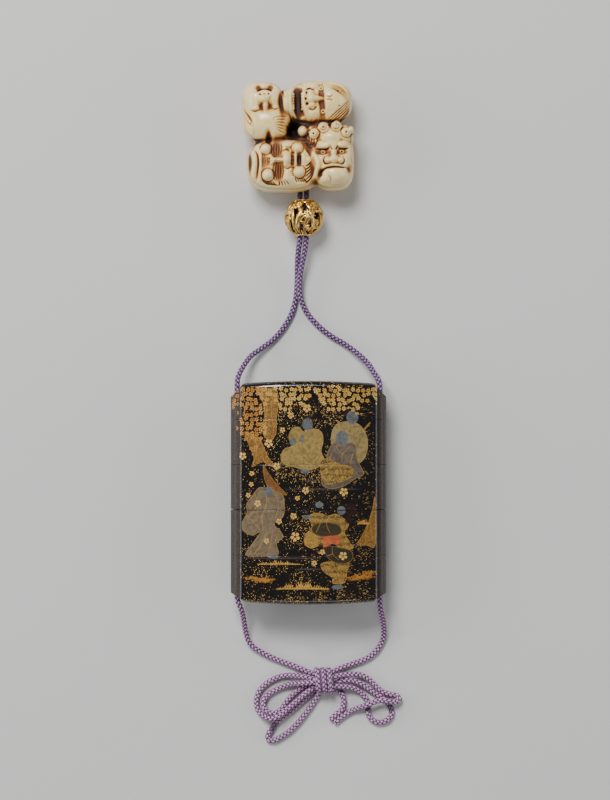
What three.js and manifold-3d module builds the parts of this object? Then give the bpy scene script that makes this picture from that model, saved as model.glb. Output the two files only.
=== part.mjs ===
// A lacquered inro, the small stacked case that hung from a sash, lying on its back with its silk cord,
// the pierced metal bead that slides on the cord, and the carved toggle, a cluster of masks, at its end.
// Millimetres, +Z up. The case lies along Y with its lid towards +Y, and the origin is on the middle of its
// flat back. Its four nesting boxes and the lid are hollow: each box has a thin collar that enters the next.
import * as THREE from "three";
import { mergeVertices } from "three/addons/utils/BufferGeometryUtils.js";
import Module from "manifold-3d";

const wasm = await Module();
wasm.setup();

// ---------- driving dimensions ----------
// The case, across X, along Y and through its thickness Z.
const PANEL_HALF = 27.4; // half the width of the curved front and back panels
const CASE_HALF_DEPTH = 12; // from the middle plane to the flat middle of either face
const PANEL_EDGE = 8.6; // the same where the panel's long edges turn over
const FLAT_HALF = 10; // half the width of the flat strip down each face
const EDGE_ROUND = 0.9; // rounding of the panels' long edges
const RUNNER_HALF = 31.2; // half the width over the two cord runners
const RUNNER_DEPTH = 4.4; // half the thickness of a runner
const TUNNEL = { x: 28.6, radius: 1.6 }; // the hole for the cord down each runner
const CASE_END = 44.5; // from the origin to the crown of either end
const END_CROWN = 1; // how much the ends fall away towards their corners
const CORNER = 2.4; // rounding of the four corners, seen from the front
const END_ROUND = 2.4; // rounding of the end edges through the thickness
// The runners stop short of the case's ends and slope back to the panel there.
const LID_RUNNER = { end: 41.6, slope: 3.4 };
const FOOT_RUNNER = { end: 42.2, slope: 2 };
const JOINTS = [29.1, 11.1, -6.9, -25.1]; // the joint lines, from the lid down
const SEAM = 0.2; // gap at a joint
const WALL = 2.4; // a box's wall
const COLLAR = { height: 5, outside: 1.3, clearance: 0.25 }; // outside: how far it stands in from the face
const SOCKET_DEPTH = 5.4;
const FLOOR = 1.3;
const END_WALL = 2.4;
const BORE_SIDES = 12;

// The cord, and what is on it.
const CORD = 2.3;
const CORD_SIDES = 8;
const LYING = CORD / 2 + 0.15; // height of its middle where it lies on the surface
const BEAD = { x: -1.8, y: 110.3, radius: 8, wall: 1.2, hole: 3.1 };
const TOGGLE = { x: -4.1, y: 142.5, middle: 10.5, socketDepth: 7, socketRadius: 1.5 };

// ---------- working with solids ----------
function toSolid(geometry) {
  const bare = geometry.index ? geometry.toNonIndexed() : geometry.clone();
  bare.deleteAttribute("normal");
  bare.deleteAttribute("uv");
  const merged = mergeVertices(bare, 1e-4);
  return new wasm.Manifold(
    new wasm.Mesh({
      numProp: 3,
      vertProperties: new Float32Array(merged.attributes.position.array),
      triVerts: new Uint32Array(merged.index.array),
    }),
  );
}

function toGeometry(solid) {
  const mesh = solid.getMesh();
  const geometry = new THREE.BufferGeometry();
  geometry.setAttribute(
    "position",
    new THREE.BufferAttribute(mesh.vertProperties.slice(), 3),
  );
  geometry.setIndex(new THREE.BufferAttribute(mesh.triVerts.slice(), 1));
  geometry.computeVertexNormals();
  return geometry;
}

// A closed solid through a row of rings of points, closed at its ends with fans about the points foot and
// crown. Each ring turns by the right-hand rule about the direction from foot to crown.
function loft(rings, foot, crown) {
  const points = [...rings.flat(), foot, crown];
  const around = rings[0].length;
  const faces = [];
  for (let j = 0; j + 1 < rings.length; j++)
    for (let i = 0; i < around; i++) {
      const a = j * around + i;
      const b = j * around + ((i + 1) % around);
      faces.push(a, b, b + around, a, b + around, a + around);
    }
  const last = (rings.length - 1) * around;
  for (let i = 0; i < around; i++) {
    const next = (i + 1) % around;
    faces.push(points.length - 2, next, i);
    faces.push(points.length - 1, last + i, last + next);
  }
  const geometry = new THREE.BufferGeometry().setFromPoints(points);
  geometry.setIndex(faces);
  return toSolid(geometry);
}

// ---------- the case ----------
// A lens-shaped section as [x, z] pairs turning from +Z towards +X, inset by a distance from the panel's
// own outline: flat in the middle, then falling in a parabola to an edge with a small round.
function lens(inset) {
  const half = PANEL_HALF - inset;
  const middle = CASE_HALF_DEPTH - inset;
  const edge = PANEL_EDGE - inset;
  const round = EDGE_ROUND;
  const quarter = [[FLAT_HALF, middle]];
  for (const share of [0.4, 0.75, 1]) {
    const x = FLAT_HALF + (half - round - FLAT_HALF) * share;
    quarter.push([x, middle - (middle - edge) * share ** 2]);
  }
  quarter.push([half - round * 0.3, edge - round * 0.35]);
  quarter.push([half, edge - round]);
  const back = quarter.map(([x, z]) => [x, -z]).reverse();
  const right = [...quarter, ...back];
  return [...right, ...right.map(([x, z]) => [-x, -z])];
}

const ring = (pairs, y) =>
  pairs.map(
    ([x, z]) =>
      new THREE.Vector3(x, typeof y === "function" ? y(x) : y, z + CASE_HALF_DEPTH),
  );

function prism(pairs, low, high) {
  return loft(
    [ring(pairs, low), ring(pairs, high)],
    new THREE.Vector3(0, low, CASE_HALF_DEPTH),
    new THREE.Vector3(0, high, CASE_HALF_DEPTH),
  );
}

// The rings of a crowned end with rounded corners and edges, from where its rounding starts to the end
// itself. way is 1 for the lid's end and -1 for the foot's.
function endRings(way) {
  const outline = lens(0);
  const steps = [0, 0.45, 0.75, 0.93, 1];
  return steps.map((share) => {
    const turn = 1 - Math.sqrt(1 - share ** 2);
    const narrow = 1 - (CORNER * turn) / PANEL_HALF;
    const thin = 1 - (END_ROUND * turn) / CASE_HALF_DEPTH;
    const pairs = outline.map(([x, z]) => [x * narrow, z * thin]);
    const reach = (x) =>
      way * (CASE_END - CORNER * (1 - share) - END_CROWN * (x / PANEL_HALF) ** 2);
    return ring(pairs, reach);
  });
}

// One panelled length of the case from low to high, rounded off where it reaches an end.
function panelled(low, high) {
  const rings = [];
  if (low <= -CASE_END) rings.push(...endRings(-1).reverse());
  else rings.push(ring(lens(0), low));
  if (high >= CASE_END) rings.push(...endRings(1));
  else rings.push(ring(lens(0), high));
  return loft(
    rings,
    new THREE.Vector3(0, Math.max(low, -CASE_END), CASE_HALF_DEPTH),
    new THREE.Vector3(0, Math.min(high, CASE_END), CASE_HALF_DEPTH),
  );
}

// One cord runner: a half-round rib down the case's side, its free end sloping back to the panel.
function runner(side, low, high) {
  const root = PANEL_HALF - 1.2;
  const arc = [];
  const steps = 6;
  for (let i = 0; i <= steps; i++) {
    const angle = (Math.PI * i) / steps;
    const out = PANEL_HALF + (RUNNER_HALF - PANEL_HALF) * Math.sin(angle);
    arc.push([out, RUNNER_DEPTH * Math.cos(angle)]);
  }
  const section = [[root, RUNNER_DEPTH], ...arc, [root, -RUNNER_DEPTH]];
  const outward = (x) => Math.max(0, x - PANEL_HALF) / (RUNNER_HALF - PANEL_HALF);
  const foot = (x) => FOOT_RUNNER.slope * outward(x) - FOOT_RUNNER.end;
  const crown = (x) => LID_RUNNER.end - LID_RUNNER.slope * outward(x);
  const bottom = low <= -CASE_END ? foot : low;
  const top = high >= CASE_END ? crown : high;
  const end = (y) => (typeof y === "function" ? y(PANEL_HALF) : y);
  const made = loft(
    [ring(section, bottom), ring(section, top)],
    new THREE.Vector3(root + 1, end(bottom), CASE_HALF_DEPTH),
    new THREE.Vector3(root + 1, end(top), CASE_HALF_DEPTH),
  );
  return side > 0 ? made : made.mirror([1, 0, 0]);
}

// A round bore along Y, or a slot with round ends where apart is given, about the place (x, z), with z
// counted from the case's middle plane.
function bore(x, z, radius, low, high, apart = 0) {
  const section = [];
  for (let i = 0; i < BORE_SIDES; i++) {
    const angle = (2 * Math.PI * i) / BORE_SIDES;
    const shift = Math.sin(angle) >= 0 ? apart : -apart;
    section.push([x + shift + radius * Math.sin(angle), z + radius * Math.cos(angle)]);
  }
  return loft(
    [ring(section, low), ring(section, high)],
    new THREE.Vector3(x, low, z + CASE_HALF_DEPTH),
    new THREE.Vector3(x, high, z + CASE_HALF_DEPTH),
  );
}

const cavity = lens(WALL);
const collarOutside = lens(COLLAR.outside);
const socketOutline = lens(COLLAR.outside - COLLAR.clearance);

// The shell common to lid and boxes, from low to high, with its runners and their tunnels.
function shell(low, high) {
  let made = panelled(low, high);
  for (const side of [-1, 1]) made = made.add(runner(side, low, high));
  const [bottom, top] = [-CASE_END - 1, CASE_END + 1];
  for (const side of [-1, 1])
    made = made.subtract(bore(side * TUNNEL.x, 0, TUNNEL.radius, bottom, top));
  return made;
}

function lid() {
  const low = JOINTS[0] + SEAM / 2;
  const hollow = prism(cavity, low, CASE_END - END_WALL);
  return shell(low, CASE_END)
    .subtract(prism(socketOutline, low - 1, low + SOCKET_DEPTH))
    .subtract(hollow);
}

// A box of the stack, counted from the lid down: a socket below for the next box's collar, a floor, the
// compartment, and its own collar above. The last box has the case's foot instead of a socket.
function box(index) {
  const isLast = index === JOINTS.length - 1;
  const high = JOINTS[index] - SEAM / 2;
  const low = isLast ? -CASE_END : JOINTS[index + 1] + SEAM / 2;
  const floor = isLast ? low + END_WALL : low + SOCKET_DEPTH + FLOOR;
  const collar = prism(collarOutside, high - 1, high + COLLAR.height);
  const hollow = prism(cavity, floor, high + COLLAR.height + 1);
  const made = shell(low, high).add(collar).subtract(hollow);
  return isLast
    ? made
    : made.subtract(prism(socketOutline, low - 1, low + SOCKET_DEPTH));
}

// ---------- the toggle ----------
// A block of ivory carved as four masks that lie head to foot round a dark gap. Its form is a function of
// the place (x, y) on it, in millimetres from its middle. Lobes with soft square outlines give the masks'
// own outlines and domes, hollows and swellings are carved into those, and tufts are balls set on them.
const LOBES = [
  { x: -14.6, y: 14.2, a: 8, b: 8 }, // plump mask, head down: chin and cheeks
  { x: -12.7, y: 6.2, a: 9.7, b: 7.8 }, // its forehead and hair
  { x: 8.6, y: 14, a: 13, b: 8.7 }, // laughing mask, lying on its side: head
  { x: -3.4, y: 13.6, a: 4, b: 5.6 }, // its jaw
  { x: -6, y: -12, a: 14.8, b: 10.4 }, // old man's mask, lying the other way
  { x: 14.2, y: -9.8, a: 8.2, b: 12 }, // demon mask, upright: face
  { x: 12.6, y: 0.6, a: 9.6, b: 4.6 }, // its hair
];
const LOBE_POWER = 2.9;
const LOBE_BLEND = 14;
const CORE_RADIUS = 17; // ivory left standing between the masks
const BLOCK = 5; // half the thickness of the block that the domes stand on
const DOME = 5.6;
const DOME_POWER = 3.2;
const BACK_DOME = 7;
const FRONT_RINGS = 18;
const BACK_RINGS = 5;
const TURNS = 80;

// Hollows and swellings: h is the height, below 0 for a hollow, and rx and ry are the half-widths along
// and across the direction turn, in degrees.
const CARVING = [
  // the dark gap between the masks
  { x: -1.9, y: 2.3, rx: 2.6, ry: 3, h: -7.5 },
  // plump mask: mouth and its corners, nose, eye sockets, forehead, parting
  { x: -13.3, y: 18.2, rx: 3, ry: 0.9, h: -0.8 },
  { x: -16.4, y: 19.2, rx: 1.1, ry: 1.3, h: -0.7 },
  { x: -10.9, y: 19.2, rx: 1.1, ry: 1.3, h: -0.7 },
  { x: -13.7, y: 14, rx: 2.3, ry: 1.9, h: 1.7 },
  { x: -15.2, y: 10.7, rx: 1.9, ry: 1.2, h: -1 },
  { x: -10.8, y: 11.2, rx: 1.9, ry: 1.2, h: -1 },
  { x: -12.4, y: 5.6, rx: 5.5, ry: 3.8, h: 0.9 },
  { x: -11.8, y: -0.2, rx: 1, ry: 2.6, h: -2.2 },
  // laughing mask: open mouth, nose, its bridge, eye groove, forehead
  { x: -0.2, y: 13.4, rx: 2.1, ry: 6.6, h: -3.2 },
  { x: 5.4, y: 14.7, rx: 2.6, ry: 3.4, h: 1.9 },
  { x: 8.2, y: 14.8, rx: 2.4, ry: 1.3, h: 1 },
  { x: 9.3, y: 14, rx: 1.3, ry: 7.2, h: -1.3 },
  { x: 14.4, y: 14.6, rx: 4, ry: 5, h: 1.1 },
  // old man's mask: eye sockets, bridge and tip of the nose, mouth, chin, hollow under the cap's brim
  { x: -8.9, y: -5.8, rx: 2.4, ry: 3, h: -1.2 },
  { x: -7.7, y: -14.6, rx: 2.4, ry: 3.4, h: -1.2 },
  { x: -7.6, y: -9.9, rx: 3.6, ry: 0.9, h: 1.5 },
  { x: -4.2, y: -9.4, rx: 1.5, ry: 3, h: 1.9 },
  { x: 0.3, y: -9.3, rx: 1.1, ry: 3, h: -1.8 },
  { x: 6.6, y: -9, rx: 1.9, ry: 4.6, h: 1 },
  { x: -19.6, y: -10, rx: 1.3, ry: 4.4, h: -1.6 },
  // demon mask: forehead, brows, eye sockets, bridge, nose and its wings
  { x: 13, y: -1.2, rx: 3.8, ry: 3.2, h: 2 },
  { x: 9.4, y: -4.3, rx: 3, ry: 1.2, h: 1.3, turn: -8 },
  { x: 17.8, y: -4.1, rx: 2.9, ry: 1.2, h: 1.2, turn: 8 },
  { x: 10, y: -6.7, rx: 2.5, ry: 1.3, h: -1.1 },
  { x: 17.7, y: -6.5, rx: 2.2, ry: 1.3, h: -1.1 },
  { x: 14.2, y: -7.4, rx: 1.4, ry: 2.4, h: 1.2 },
  { x: 14.3, y: -9.4, rx: 2.3, ry: 1.9, h: 1.9 },
  { x: 11.2, y: -10.1, rx: 1.4, ry: 1.3, h: 1 },
  { x: 17.4, y: -9.9, rx: 1.4, ry: 1.3, h: 1 },
  // its turned-down mouth and the corners of it, lower jaw and chin
  { x: 11.6, y: -13.4, rx: 3.8, ry: 0.8, h: -1.6, turn: 18 },
  { x: 17.6, y: -13, rx: 3.6, ry: 0.8, h: -1.6, turn: -16 },
  { x: 9.6, y: -15.2, rx: 1.7, ry: 1.9, h: -1 },
  { x: 20.3, y: -13.6, rx: 1.3, ry: 2, h: -1.2 },
  { x: 15.3, y: -15.8, rx: 4.9, ry: 3, h: 1.5 },
  { x: 10.8, y: -18, rx: 2.2, ry: 1.8, h: 0.7 },
];

// Balls: the old man's brow and cheek tufts, the demon's curls, and its two blunt horns.
const TUFTS = [
  { x: -12.9, y: -5.5, radius: 2.2, proud: 1.9 },
  { x: -12.1, y: -15.8, radius: 2.4, proud: 1.9 },
  { x: -0.4, y: -5.1, radius: 2.3, proud: 2 },
  { x: 0.4, y: -14.7, radius: 2.35, proud: 2 },
  { x: 6.1, y: 0.5, radius: 2, proud: 1.7 },
  { x: 10, y: 3.1, radius: 2.1, proud: 1.8 },
  { x: 15.1, y: 3.6, radius: 2.1, proud: 1.8 },
  { x: 19.2, y: 1.2, radius: 1.8, proud: 1.6 },
  { x: 1.7, y: 2.1, radius: 2.1, proud: 2.4 },
  { x: 21, y: 2.3, radius: 1.6, proud: 2.2 },
];
const TUFT_ROOT = 1.2; // how deep a ball's widest part is sunk

const lobeShare = (lobe, x, y) =>
  (Math.abs((x - lobe.x) / lobe.a) ** LOBE_POWER +
    Math.abs((y - lobe.y) / lobe.b) ** LOBE_POWER) **
  (1 / LOBE_POWER);

// The smooth least of several shares: 1 on the outline of their union, under 1 inside it.
const blended = (shares) =>
  -Math.log(shares.reduce((sum, q) => sum + Math.exp(-LOBE_BLEND * q), 0)) / LOBE_BLEND;

const lobeField = (x, y) => blended(LOBES.map((lobe) => lobeShare(lobe, x, y)));

function outlineRadius(angle) {
  let [inside, outside] = [10, 30];
  for (let i = 0; i < 30; i++) {
    const r = (inside + outside) / 2;
    const [x, y] = [r * Math.cos(angle), r * Math.sin(angle)];
    const share = blended([
      ...LOBES.map((lobe) => lobeShare(lobe, x, y)),
      r / CORE_RADIUS,
    ]);
    if (share < 1) inside = r;
    else outside = r;
  }
  return inside;
}

const dome = (x, y) => Math.sqrt(Math.max(0, 1 - lobeField(x, y) ** DOME_POWER));

function carved(x, y) {
  return CARVING.reduce((sum, { x: cx, y: cy, rx, ry, h, turn = 0 }) => {
    const a = (turn * Math.PI) / 180;
    const along = ((x - cx) * Math.cos(a) + (y - cy) * Math.sin(a)) / rx;
    const across = ((y - cy) * Math.cos(a) - (x - cx) * Math.sin(a)) / ry;
    return sum + h * Math.exp(-((along ** 2 + across ** 2) ** 1.5));
  }, 0);
}

// The height with the balls standing on it.
function tufted(x, y, height) {
  return TUFTS.reduce((top, { x: cx, y: cy, radius, proud }) => {
    const share = ((x - cx) ** 2 + (y - cy) ** 2) / radius ** 2;
    if (share >= 1) return top;
    const root = BLOCK + DOME * dome(cx, cy) - TUFT_ROOT;
    return Math.max(top, root + (proud + TUFT_ROOT) * Math.sqrt(1 - share));
  }, height);
}

// A point of the toggle at an angle about its middle and a share of the way from pole to rim.
function togglePoint(angle, share, isFront) {
  const reach = Math.sin((Math.PI / 2) * share);
  const r = reach * outlineRadius(angle);
  const [x, y] = [r * Math.cos(angle), r * Math.sin(angle)];
  const block = BLOCK * Math.sqrt(Math.max(0, 1 - reach ** 8));
  const front = tufted(x, y, block + DOME * dome(x, y) + carved(x, y) * (1 - reach ** 12));
  const back = Math.min(TOGGLE.middle, block + BACK_DOME * dome(x, y));
  const height = share === 1 ? 0 : isFront ? front : -back;
  return new THREE.Vector3(TOGGLE.x + x, TOGGLE.y + y, TOGGLE.middle + height);
}

function toggle() {
  const rings = [];
  const shares = [];
  for (let i = 1; i <= BACK_RINGS; i++) shares.push([i / BACK_RINGS, false]);
  for (let i = FRONT_RINGS - 1; i > 0; i--) shares.push([i / FRONT_RINGS, true]);
  for (const [share, isFront] of shares) {
    const points = [];
    for (let i = 0; i < TURNS; i++)
      points.push(togglePoint((2 * Math.PI * i) / TURNS, share, isFront));
    rings.push(points);
  }
  const block = loft(rings, togglePoint(0, 0, false), togglePoint(0, 0, true));
  return block.subtract(toggleSocket());
}

// ---------- the cord ----------
// Each strand starts in the toggle's socket, goes through the bead and down its runner, and meets the
// other in the bow. Its points are in millimetres.
const HOLD = { x: -2.1, z: 8.2, apart: 1.28 }; // where the two strands lie side by side in bead and toggle
const TOGGLE_FOOT = TOGGLE.y - 21.6; // where the strands enter the toggle

const STRANDS = {
  left: [
    [HOLD.x - HOLD.apart, TOGGLE_FOOT + 5.5, HOLD.z],
    [HOLD.x - HOLD.apart, TOGGLE_FOOT - 1, HOLD.z],
    [HOLD.x - HOLD.apart, 110.3, 8],
    [-3.5, 102, 7.4],
    [-4.2, 96, 5],
    [-4.5, 90, 2.6],
    [-4.6, 83.5, 1.25],
    [-5.2, 77.5, LYING],
    [-7, 71.5, LYING],
    [-10, 66.3, LYING],
    [-14, 61.6, 1.4],
    [-18.5, 58.1, 2.4],
    [-23.4, 54.4, 4.6],
    [-26.6, 49.8, 8],
    [-28.4, 45.6, 10.8],
    [-TUNNEL.x, 42, 12],
    [-TUNNEL.x, 34, 12],
    [-TUNNEL.x, 0, 12],
    [-TUNNEL.x, -34, 12],
    [-TUNNEL.x, -41.8, 12],
    [-28.3, -44, 11.6],
    [-27.3, -46.4, 10.6],
    [-26.3, -50.4, 7.6],
    [-25.4, -56.4, 3.6],
    [-24.3, -60.3, 2],
    [-22.4, -62.9, 1.5],
    [-17.8, -65.8, LYING],
    [-12, -68.5, LYING],
    [-6.6, -70.4, 1.4],
    [-2.4, -72.1, 1.7],
    [2, -73.6, 2.1],
  ],
  right: [
    [HOLD.x + HOLD.apart, TOGGLE_FOOT + 5.5, HOLD.z],
    [HOLD.x + HOLD.apart, TOGGLE_FOOT - 1, HOLD.z],
    [HOLD.x + HOLD.apart, 110.3, 8],
    [-0.9, 102, 7.5],
    [-1.7, 96, 6.1],
    [-2.9, 90, 4.9],
    [-3.7, 84, 3.9],
    [-2.9, 77.5, 2.8],
    [-0.6, 72.2, 1.4],
    [3.6, 67.3, LYING],
    [8.7, 63.1, LYING],
    [15, 59.3, 1.6],
    [20.9, 54.8, 3.6],
    [24.3, 51.2, 6],
    [26.2, 48, 8.8],
    [27.6, 45.8, 10.3],
    [28.4, 43.8, 11.6],
    [TUNNEL.x, 41.8, 12],
    [TUNNEL.x, 34, 12],
    [TUNNEL.x, 0, 12],
    [TUNNEL.x, -34, 12],
    [TUNNEL.x, -42, 12],
    [28.9, -46.6, 10.6],
    [30, -52, 6.4],
    [30.5, -56.6, 3],
    [29.8, -60.8, 1.4],
    [27.4, -64.6, LYING],
    [23.6, -67.6, LYING],
    [18.4, -69.6, LYING],
    [13.9, -71.2, 1.5],
    [10.4, -72.7, 2],
  ],
};
const STRAND_STEPS = 28;

// The bow: its loops and tails leave the knot.
const KNOT = { x: 6.4, y: -76.2, z: 3.9, rx: 4.8, ry: 5.4, rz: 3.9 };
const BOW = [
  // the wide loop to the left
  {
    steps: 10,
    points: [
      [4, -75.8, 4.6],
      [-1, -74.9, 4],
      [-5, -74.5, 2.6],
      [-9.2, -74.5, 1.5],
      [-13.3, -75.6, LYING],
      [-16.9, -77.7, LYING],
      [-19.6, -80.4, LYING],
      [-21, -84, LYING],
      [-20.6, -88, 1.5],
      [-18.2, -90.7, 2.4],
      [-14.9, -91.8, 3.6],
      [-11.8, -90.6, 3.9],
      [-9, -88.3, 3.8],
      [-5.9, -85.7, 3.6],
      [-2.4, -82.6, 3.5],
      [1, -79.9, 3.6],
      [4, -77.8, 3.8],
    ],
  },
  // the loop that lies inside it
  {
    steps: 9,
    points: [
      [4, -76.6, 6],
      [0, -77, 5.4],
      [-3.2, -77.4, 4.2],
      [-7, -77.9, 2.2],
      [-10.3, -79, 1.5],
      [-13.7, -80.6, LYING],
      [-16.8, -82.6, 1.6],
      [-18.3, -85.2, 2.2],
      [-17.7, -87.9, 2.8],
      [-15.8, -89.3, 3.1],
      [-13.2, -89.6, 3.1],
      [-10.9, -88, 2.6],
      [-9.2, -85.6, 1.9],
      [-7.1, -83.1, 1.5],
      [-4.4, -80.7, 1.5],
      [-1.2, -78.8, 1.9],
      [3, -77.4, 2.4],
    ],
  },
  // the long narrow loop to the lower left
  {
    steps: 10,
    points: [
      [5.4, -78, 1.9],
      [4.2, -81.8, 1.4],
      [1.6, -86, LYING],
      [-1.2, -89.9, LYING],
      [-4.1, -93.5, LYING],
      [-7.5, -96.9, LYING],
      [-11.2, -99.5, LYING],
      [-14.1, -100.9, LYING],
      [-16, -100.6, LYING],
      [-16.4, -98.6, LYING],
      [-15.1, -96.6, LYING],
      [-13.6, -94.4, LYING],
      [-11.6, -92.4, LYING],
      [-9.2, -90.4, LYING],
      [-6.4, -88.2, LYING],
      [-3.4, -85.6, LYING],
      [-0.6, -83, LYING],
      [2.4, -80, 1.5],
    ],
  },
  // the ring to the lower right, whose end passes back under the folded loop
  {
    steps: 12,
    points: [
      [8.6, -76.8, 3.6],
      [13, -76.5, 3.2],
      [17.8, -76.5, 2.8],
      [21.2, -77.7, 2.4],
      [24, -79.6, 1.8],
      [26.8, -81.8, LYING],
      [29.6, -83.4, LYING],
      [32, -85.6, LYING],
      [33.4, -87.8, LYING],
      [33.6, -90.4, LYING],
      [31.6, -92.7, LYING],
      [28.6, -93.6, LYING],
      [26, -92.6, LYING],
      [24.4, -90.6, LYING],
      [24, -88.4, LYING],
      [24, -86, LYING],
      [23.2, -83.8, LYING],
      [21.2, -81.5, LYING],
      [18, -79.5, 2.6],
      [13.4, -78.8, 3.7],
      [9, -78.4, 3.9],
    ],
  },
  // the folded loop to the right, and the tail that it ends in
  {
    steps: 13,
    points: [
      [8.4, -75.4, 5],
      [12.4, -74.3, 4.6],
      [18, -73.8, 3.4],
      [21.6, -74.4, 2.2],
      [24.6, -76.2, 1.5],
      [27.1, -78.7, LYING],
      [30, -81.1, LYING],
      [33, -82.2, LYING],
      [35.6, -82.7, LYING],
      [36.7, -84, 1.8],
      [35.2, -85, 2.8],
      [32.4, -84.7, 3.8],
      [29.4, -84.3, 4],
      [26.8, -84.9, 4],
      [24, -86.1, 3.9],
      [21.1, -87.2, 2.6],
      [18.1, -88.5, LYING],
      [15.2, -90.1, LYING],
      [12.7, -91.9, LYING],
      [10.4, -93.9, LYING],
    ],
  },
  // the short tail
  {
    steps: 4,
    points: [
      [9.4, -79.6, 1.6],
      [12.3, -80.6, 1.4],
      [14, -83, LYING],
      [14.2, -86, LYING],
      [13.4, -88.3, 1.5],
      [11.2, -90.2, 1.8],
      [8.8, -92.6, 1.4],
    ],
  },
];

function cordAlong(points, steps) {
  const path = new THREE.CatmullRomCurve3(
    points.map((p) => new THREE.Vector3(...p)),
    false,
    "centripetal",
  );
  const round = new THREE.Shape();
  for (let i = 0; i < CORD_SIDES; i++) {
    const angle = (2 * Math.PI * i) / CORD_SIDES;
    const [x, y] = [(CORD / 2) * Math.cos(angle), (CORD / 2) * Math.sin(angle)];
    if (i) round.lineTo(x, y);
    else round.moveTo(x, y);
  }
  const geometry = new THREE.ExtrudeGeometry(round, { steps, extrudePath: path });
  return toSolid(geometry);
}

// The slot in the toggle's foot that holds the cord: wide enough for both strands side by side.
function toggleSocket() {
  const [low, high] = [TOGGLE_FOOT - 3, TOGGLE_FOOT + TOGGLE.socketDepth];
  const z = HOLD.z - CASE_HALF_DEPTH;
  return bore(HOLD.x, z, TOGGLE.socketRadius, low, high, HOLD.apart);
}

function knot() {
  const ball = new THREE.SphereGeometry(1, 10, 7);
  ball.scale(KNOT.rx, KNOT.ry, KNOT.rz);
  ball.translate(KNOT.x, KNOT.y, KNOT.z);
  return toSolid(ball);
}

function bow() {
  return BOW.reduce(
    (made, { points, steps }) => made.add(cordAlong(points, steps)),
    knot(),
  );
}

// ---------- the bead ----------
// Rows of holes between blades and petals: tilt is the row's latitude in degrees, shift a share of a step.
const PIERCING = [
  { tilt: 0, count: 8, width: 3.4, height: 2.6, shift: 0 },
  { tilt: 36, count: 7, width: 2.6, height: 2, shift: 0.5 },
  { tilt: -36, count: 7, width: 2.6, height: 2, shift: 0.5 },
];
const PIERCING_LEAN = 0.5; // the holes lean left and right in turn, in radians

// A hollow metal ball with a hole at each end for the cord, pierced all round between those holes.
function bead() {
  const steps = 7;
  const band = (radius, hole) => {
    const start = Math.asin(hole / radius);
    const points = [];
    for (let i = 0; i <= steps; i++) {
      const angle = start + ((Math.PI - 2 * start) * i) / steps;
      points.push(
        new THREE.Vector2(radius * Math.sin(angle), -radius * Math.cos(angle)),
      );
    }
    return points;
  };
  const outside = band(BEAD.radius, BEAD.hole);
  const inside = band(BEAD.radius - BEAD.wall, BEAD.hole).reverse();
  const profile = [...outside, ...inside, outside[0]];
  let made = toSolid(new THREE.LatheGeometry(profile, 18));
  for (const { tilt, count, width, height, shift } of PIERCING)
    for (let i = 0; i < count; i++) {
      const cutter = new THREE.CylinderGeometry(1, 0.7, 5, 5);
      cutter.rotateX(Math.PI / 2);
      cutter.scale(width / 2, height / 2, 1);
      cutter.rotateZ(((i % 2) * 2 - 1) * PIERCING_LEAN);
      cutter.translate(0, 0, BEAD.radius);
      cutter.rotateX((-tilt * Math.PI) / 180);
      cutter.rotateY((2 * Math.PI * (i + shift)) / count);
      made = made.subtract(toSolid(cutter));
    }
  return made.translate([BEAD.x, BEAD.y, BEAD.radius]);
}

// ---------- the whole ----------
const lacquer = new THREE.MeshStandardMaterial({
  color: 0x17120f,
  roughness: 0.25,
  metalness: 0,
});
const ivory = new THREE.MeshStandardMaterial({
  color: 0xe6d2a0,
  roughness: 0.4,
  metalness: 0,
});
const gilt = new THREE.MeshStandardMaterial({
  color: 0xb08a3c,
  roughness: 0.35,
  metalness: 0.9,
});
const silk = new THREE.MeshStandardMaterial({
  color: 0x6b4180,
  roughness: 0.75,
  metalness: 0,
});

const inro = new THREE.Group();

function place(parent, name, solid, material) {
  const mesh = new THREE.Mesh(toGeometry(solid), material);
  mesh.name = name;
  parent.add(mesh);
}

const caseGroup = new THREE.Group();
inro.add(caseGroup);
place(caseGroup, "lid", lid(), lacquer);
JOINTS.forEach((_, index) => place(caseGroup, `box_${index + 1}`, box(index), lacquer));

const cordGroup = new THREE.Group();
inro.add(cordGroup);
place(cordGroup, "cord_left", cordAlong(STRANDS.left, STRAND_STEPS), silk);
place(cordGroup, "cord_right", cordAlong(STRANDS.right, STRAND_STEPS), silk);
place(cordGroup, "cord_bow", bow(), silk);
place(cordGroup, "ojime_bead", bead(), gilt);
place(cordGroup, "netsuke_toggle", toggle(), ivory);

export default inro;
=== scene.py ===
import bpy
import numpy as np
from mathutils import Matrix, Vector


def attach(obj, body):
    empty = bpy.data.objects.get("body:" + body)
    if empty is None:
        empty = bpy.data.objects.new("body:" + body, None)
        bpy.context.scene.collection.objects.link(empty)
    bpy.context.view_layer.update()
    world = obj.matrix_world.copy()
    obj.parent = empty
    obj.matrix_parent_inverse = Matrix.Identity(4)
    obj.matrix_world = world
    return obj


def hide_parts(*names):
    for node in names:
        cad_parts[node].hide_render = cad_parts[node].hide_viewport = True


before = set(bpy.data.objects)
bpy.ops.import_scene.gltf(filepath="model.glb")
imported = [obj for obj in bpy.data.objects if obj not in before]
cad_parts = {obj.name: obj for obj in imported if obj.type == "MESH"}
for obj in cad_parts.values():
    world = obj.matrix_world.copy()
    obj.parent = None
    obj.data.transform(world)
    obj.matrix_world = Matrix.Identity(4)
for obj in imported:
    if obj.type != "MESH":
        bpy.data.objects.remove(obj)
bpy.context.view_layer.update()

# ---------- the camera ----------
# The object lies on its back, so the camera hangs straight over it, the toggle at the head of the view.
MM = 0.001
VIEW_CENTRE = (-1.4, 36.9)
VIEW_LENGTH = 320.0
VIEW_LEVEL = 15.0
CAMERA_DISTANCE = 1200.0
SENSOR = 36.0

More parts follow.
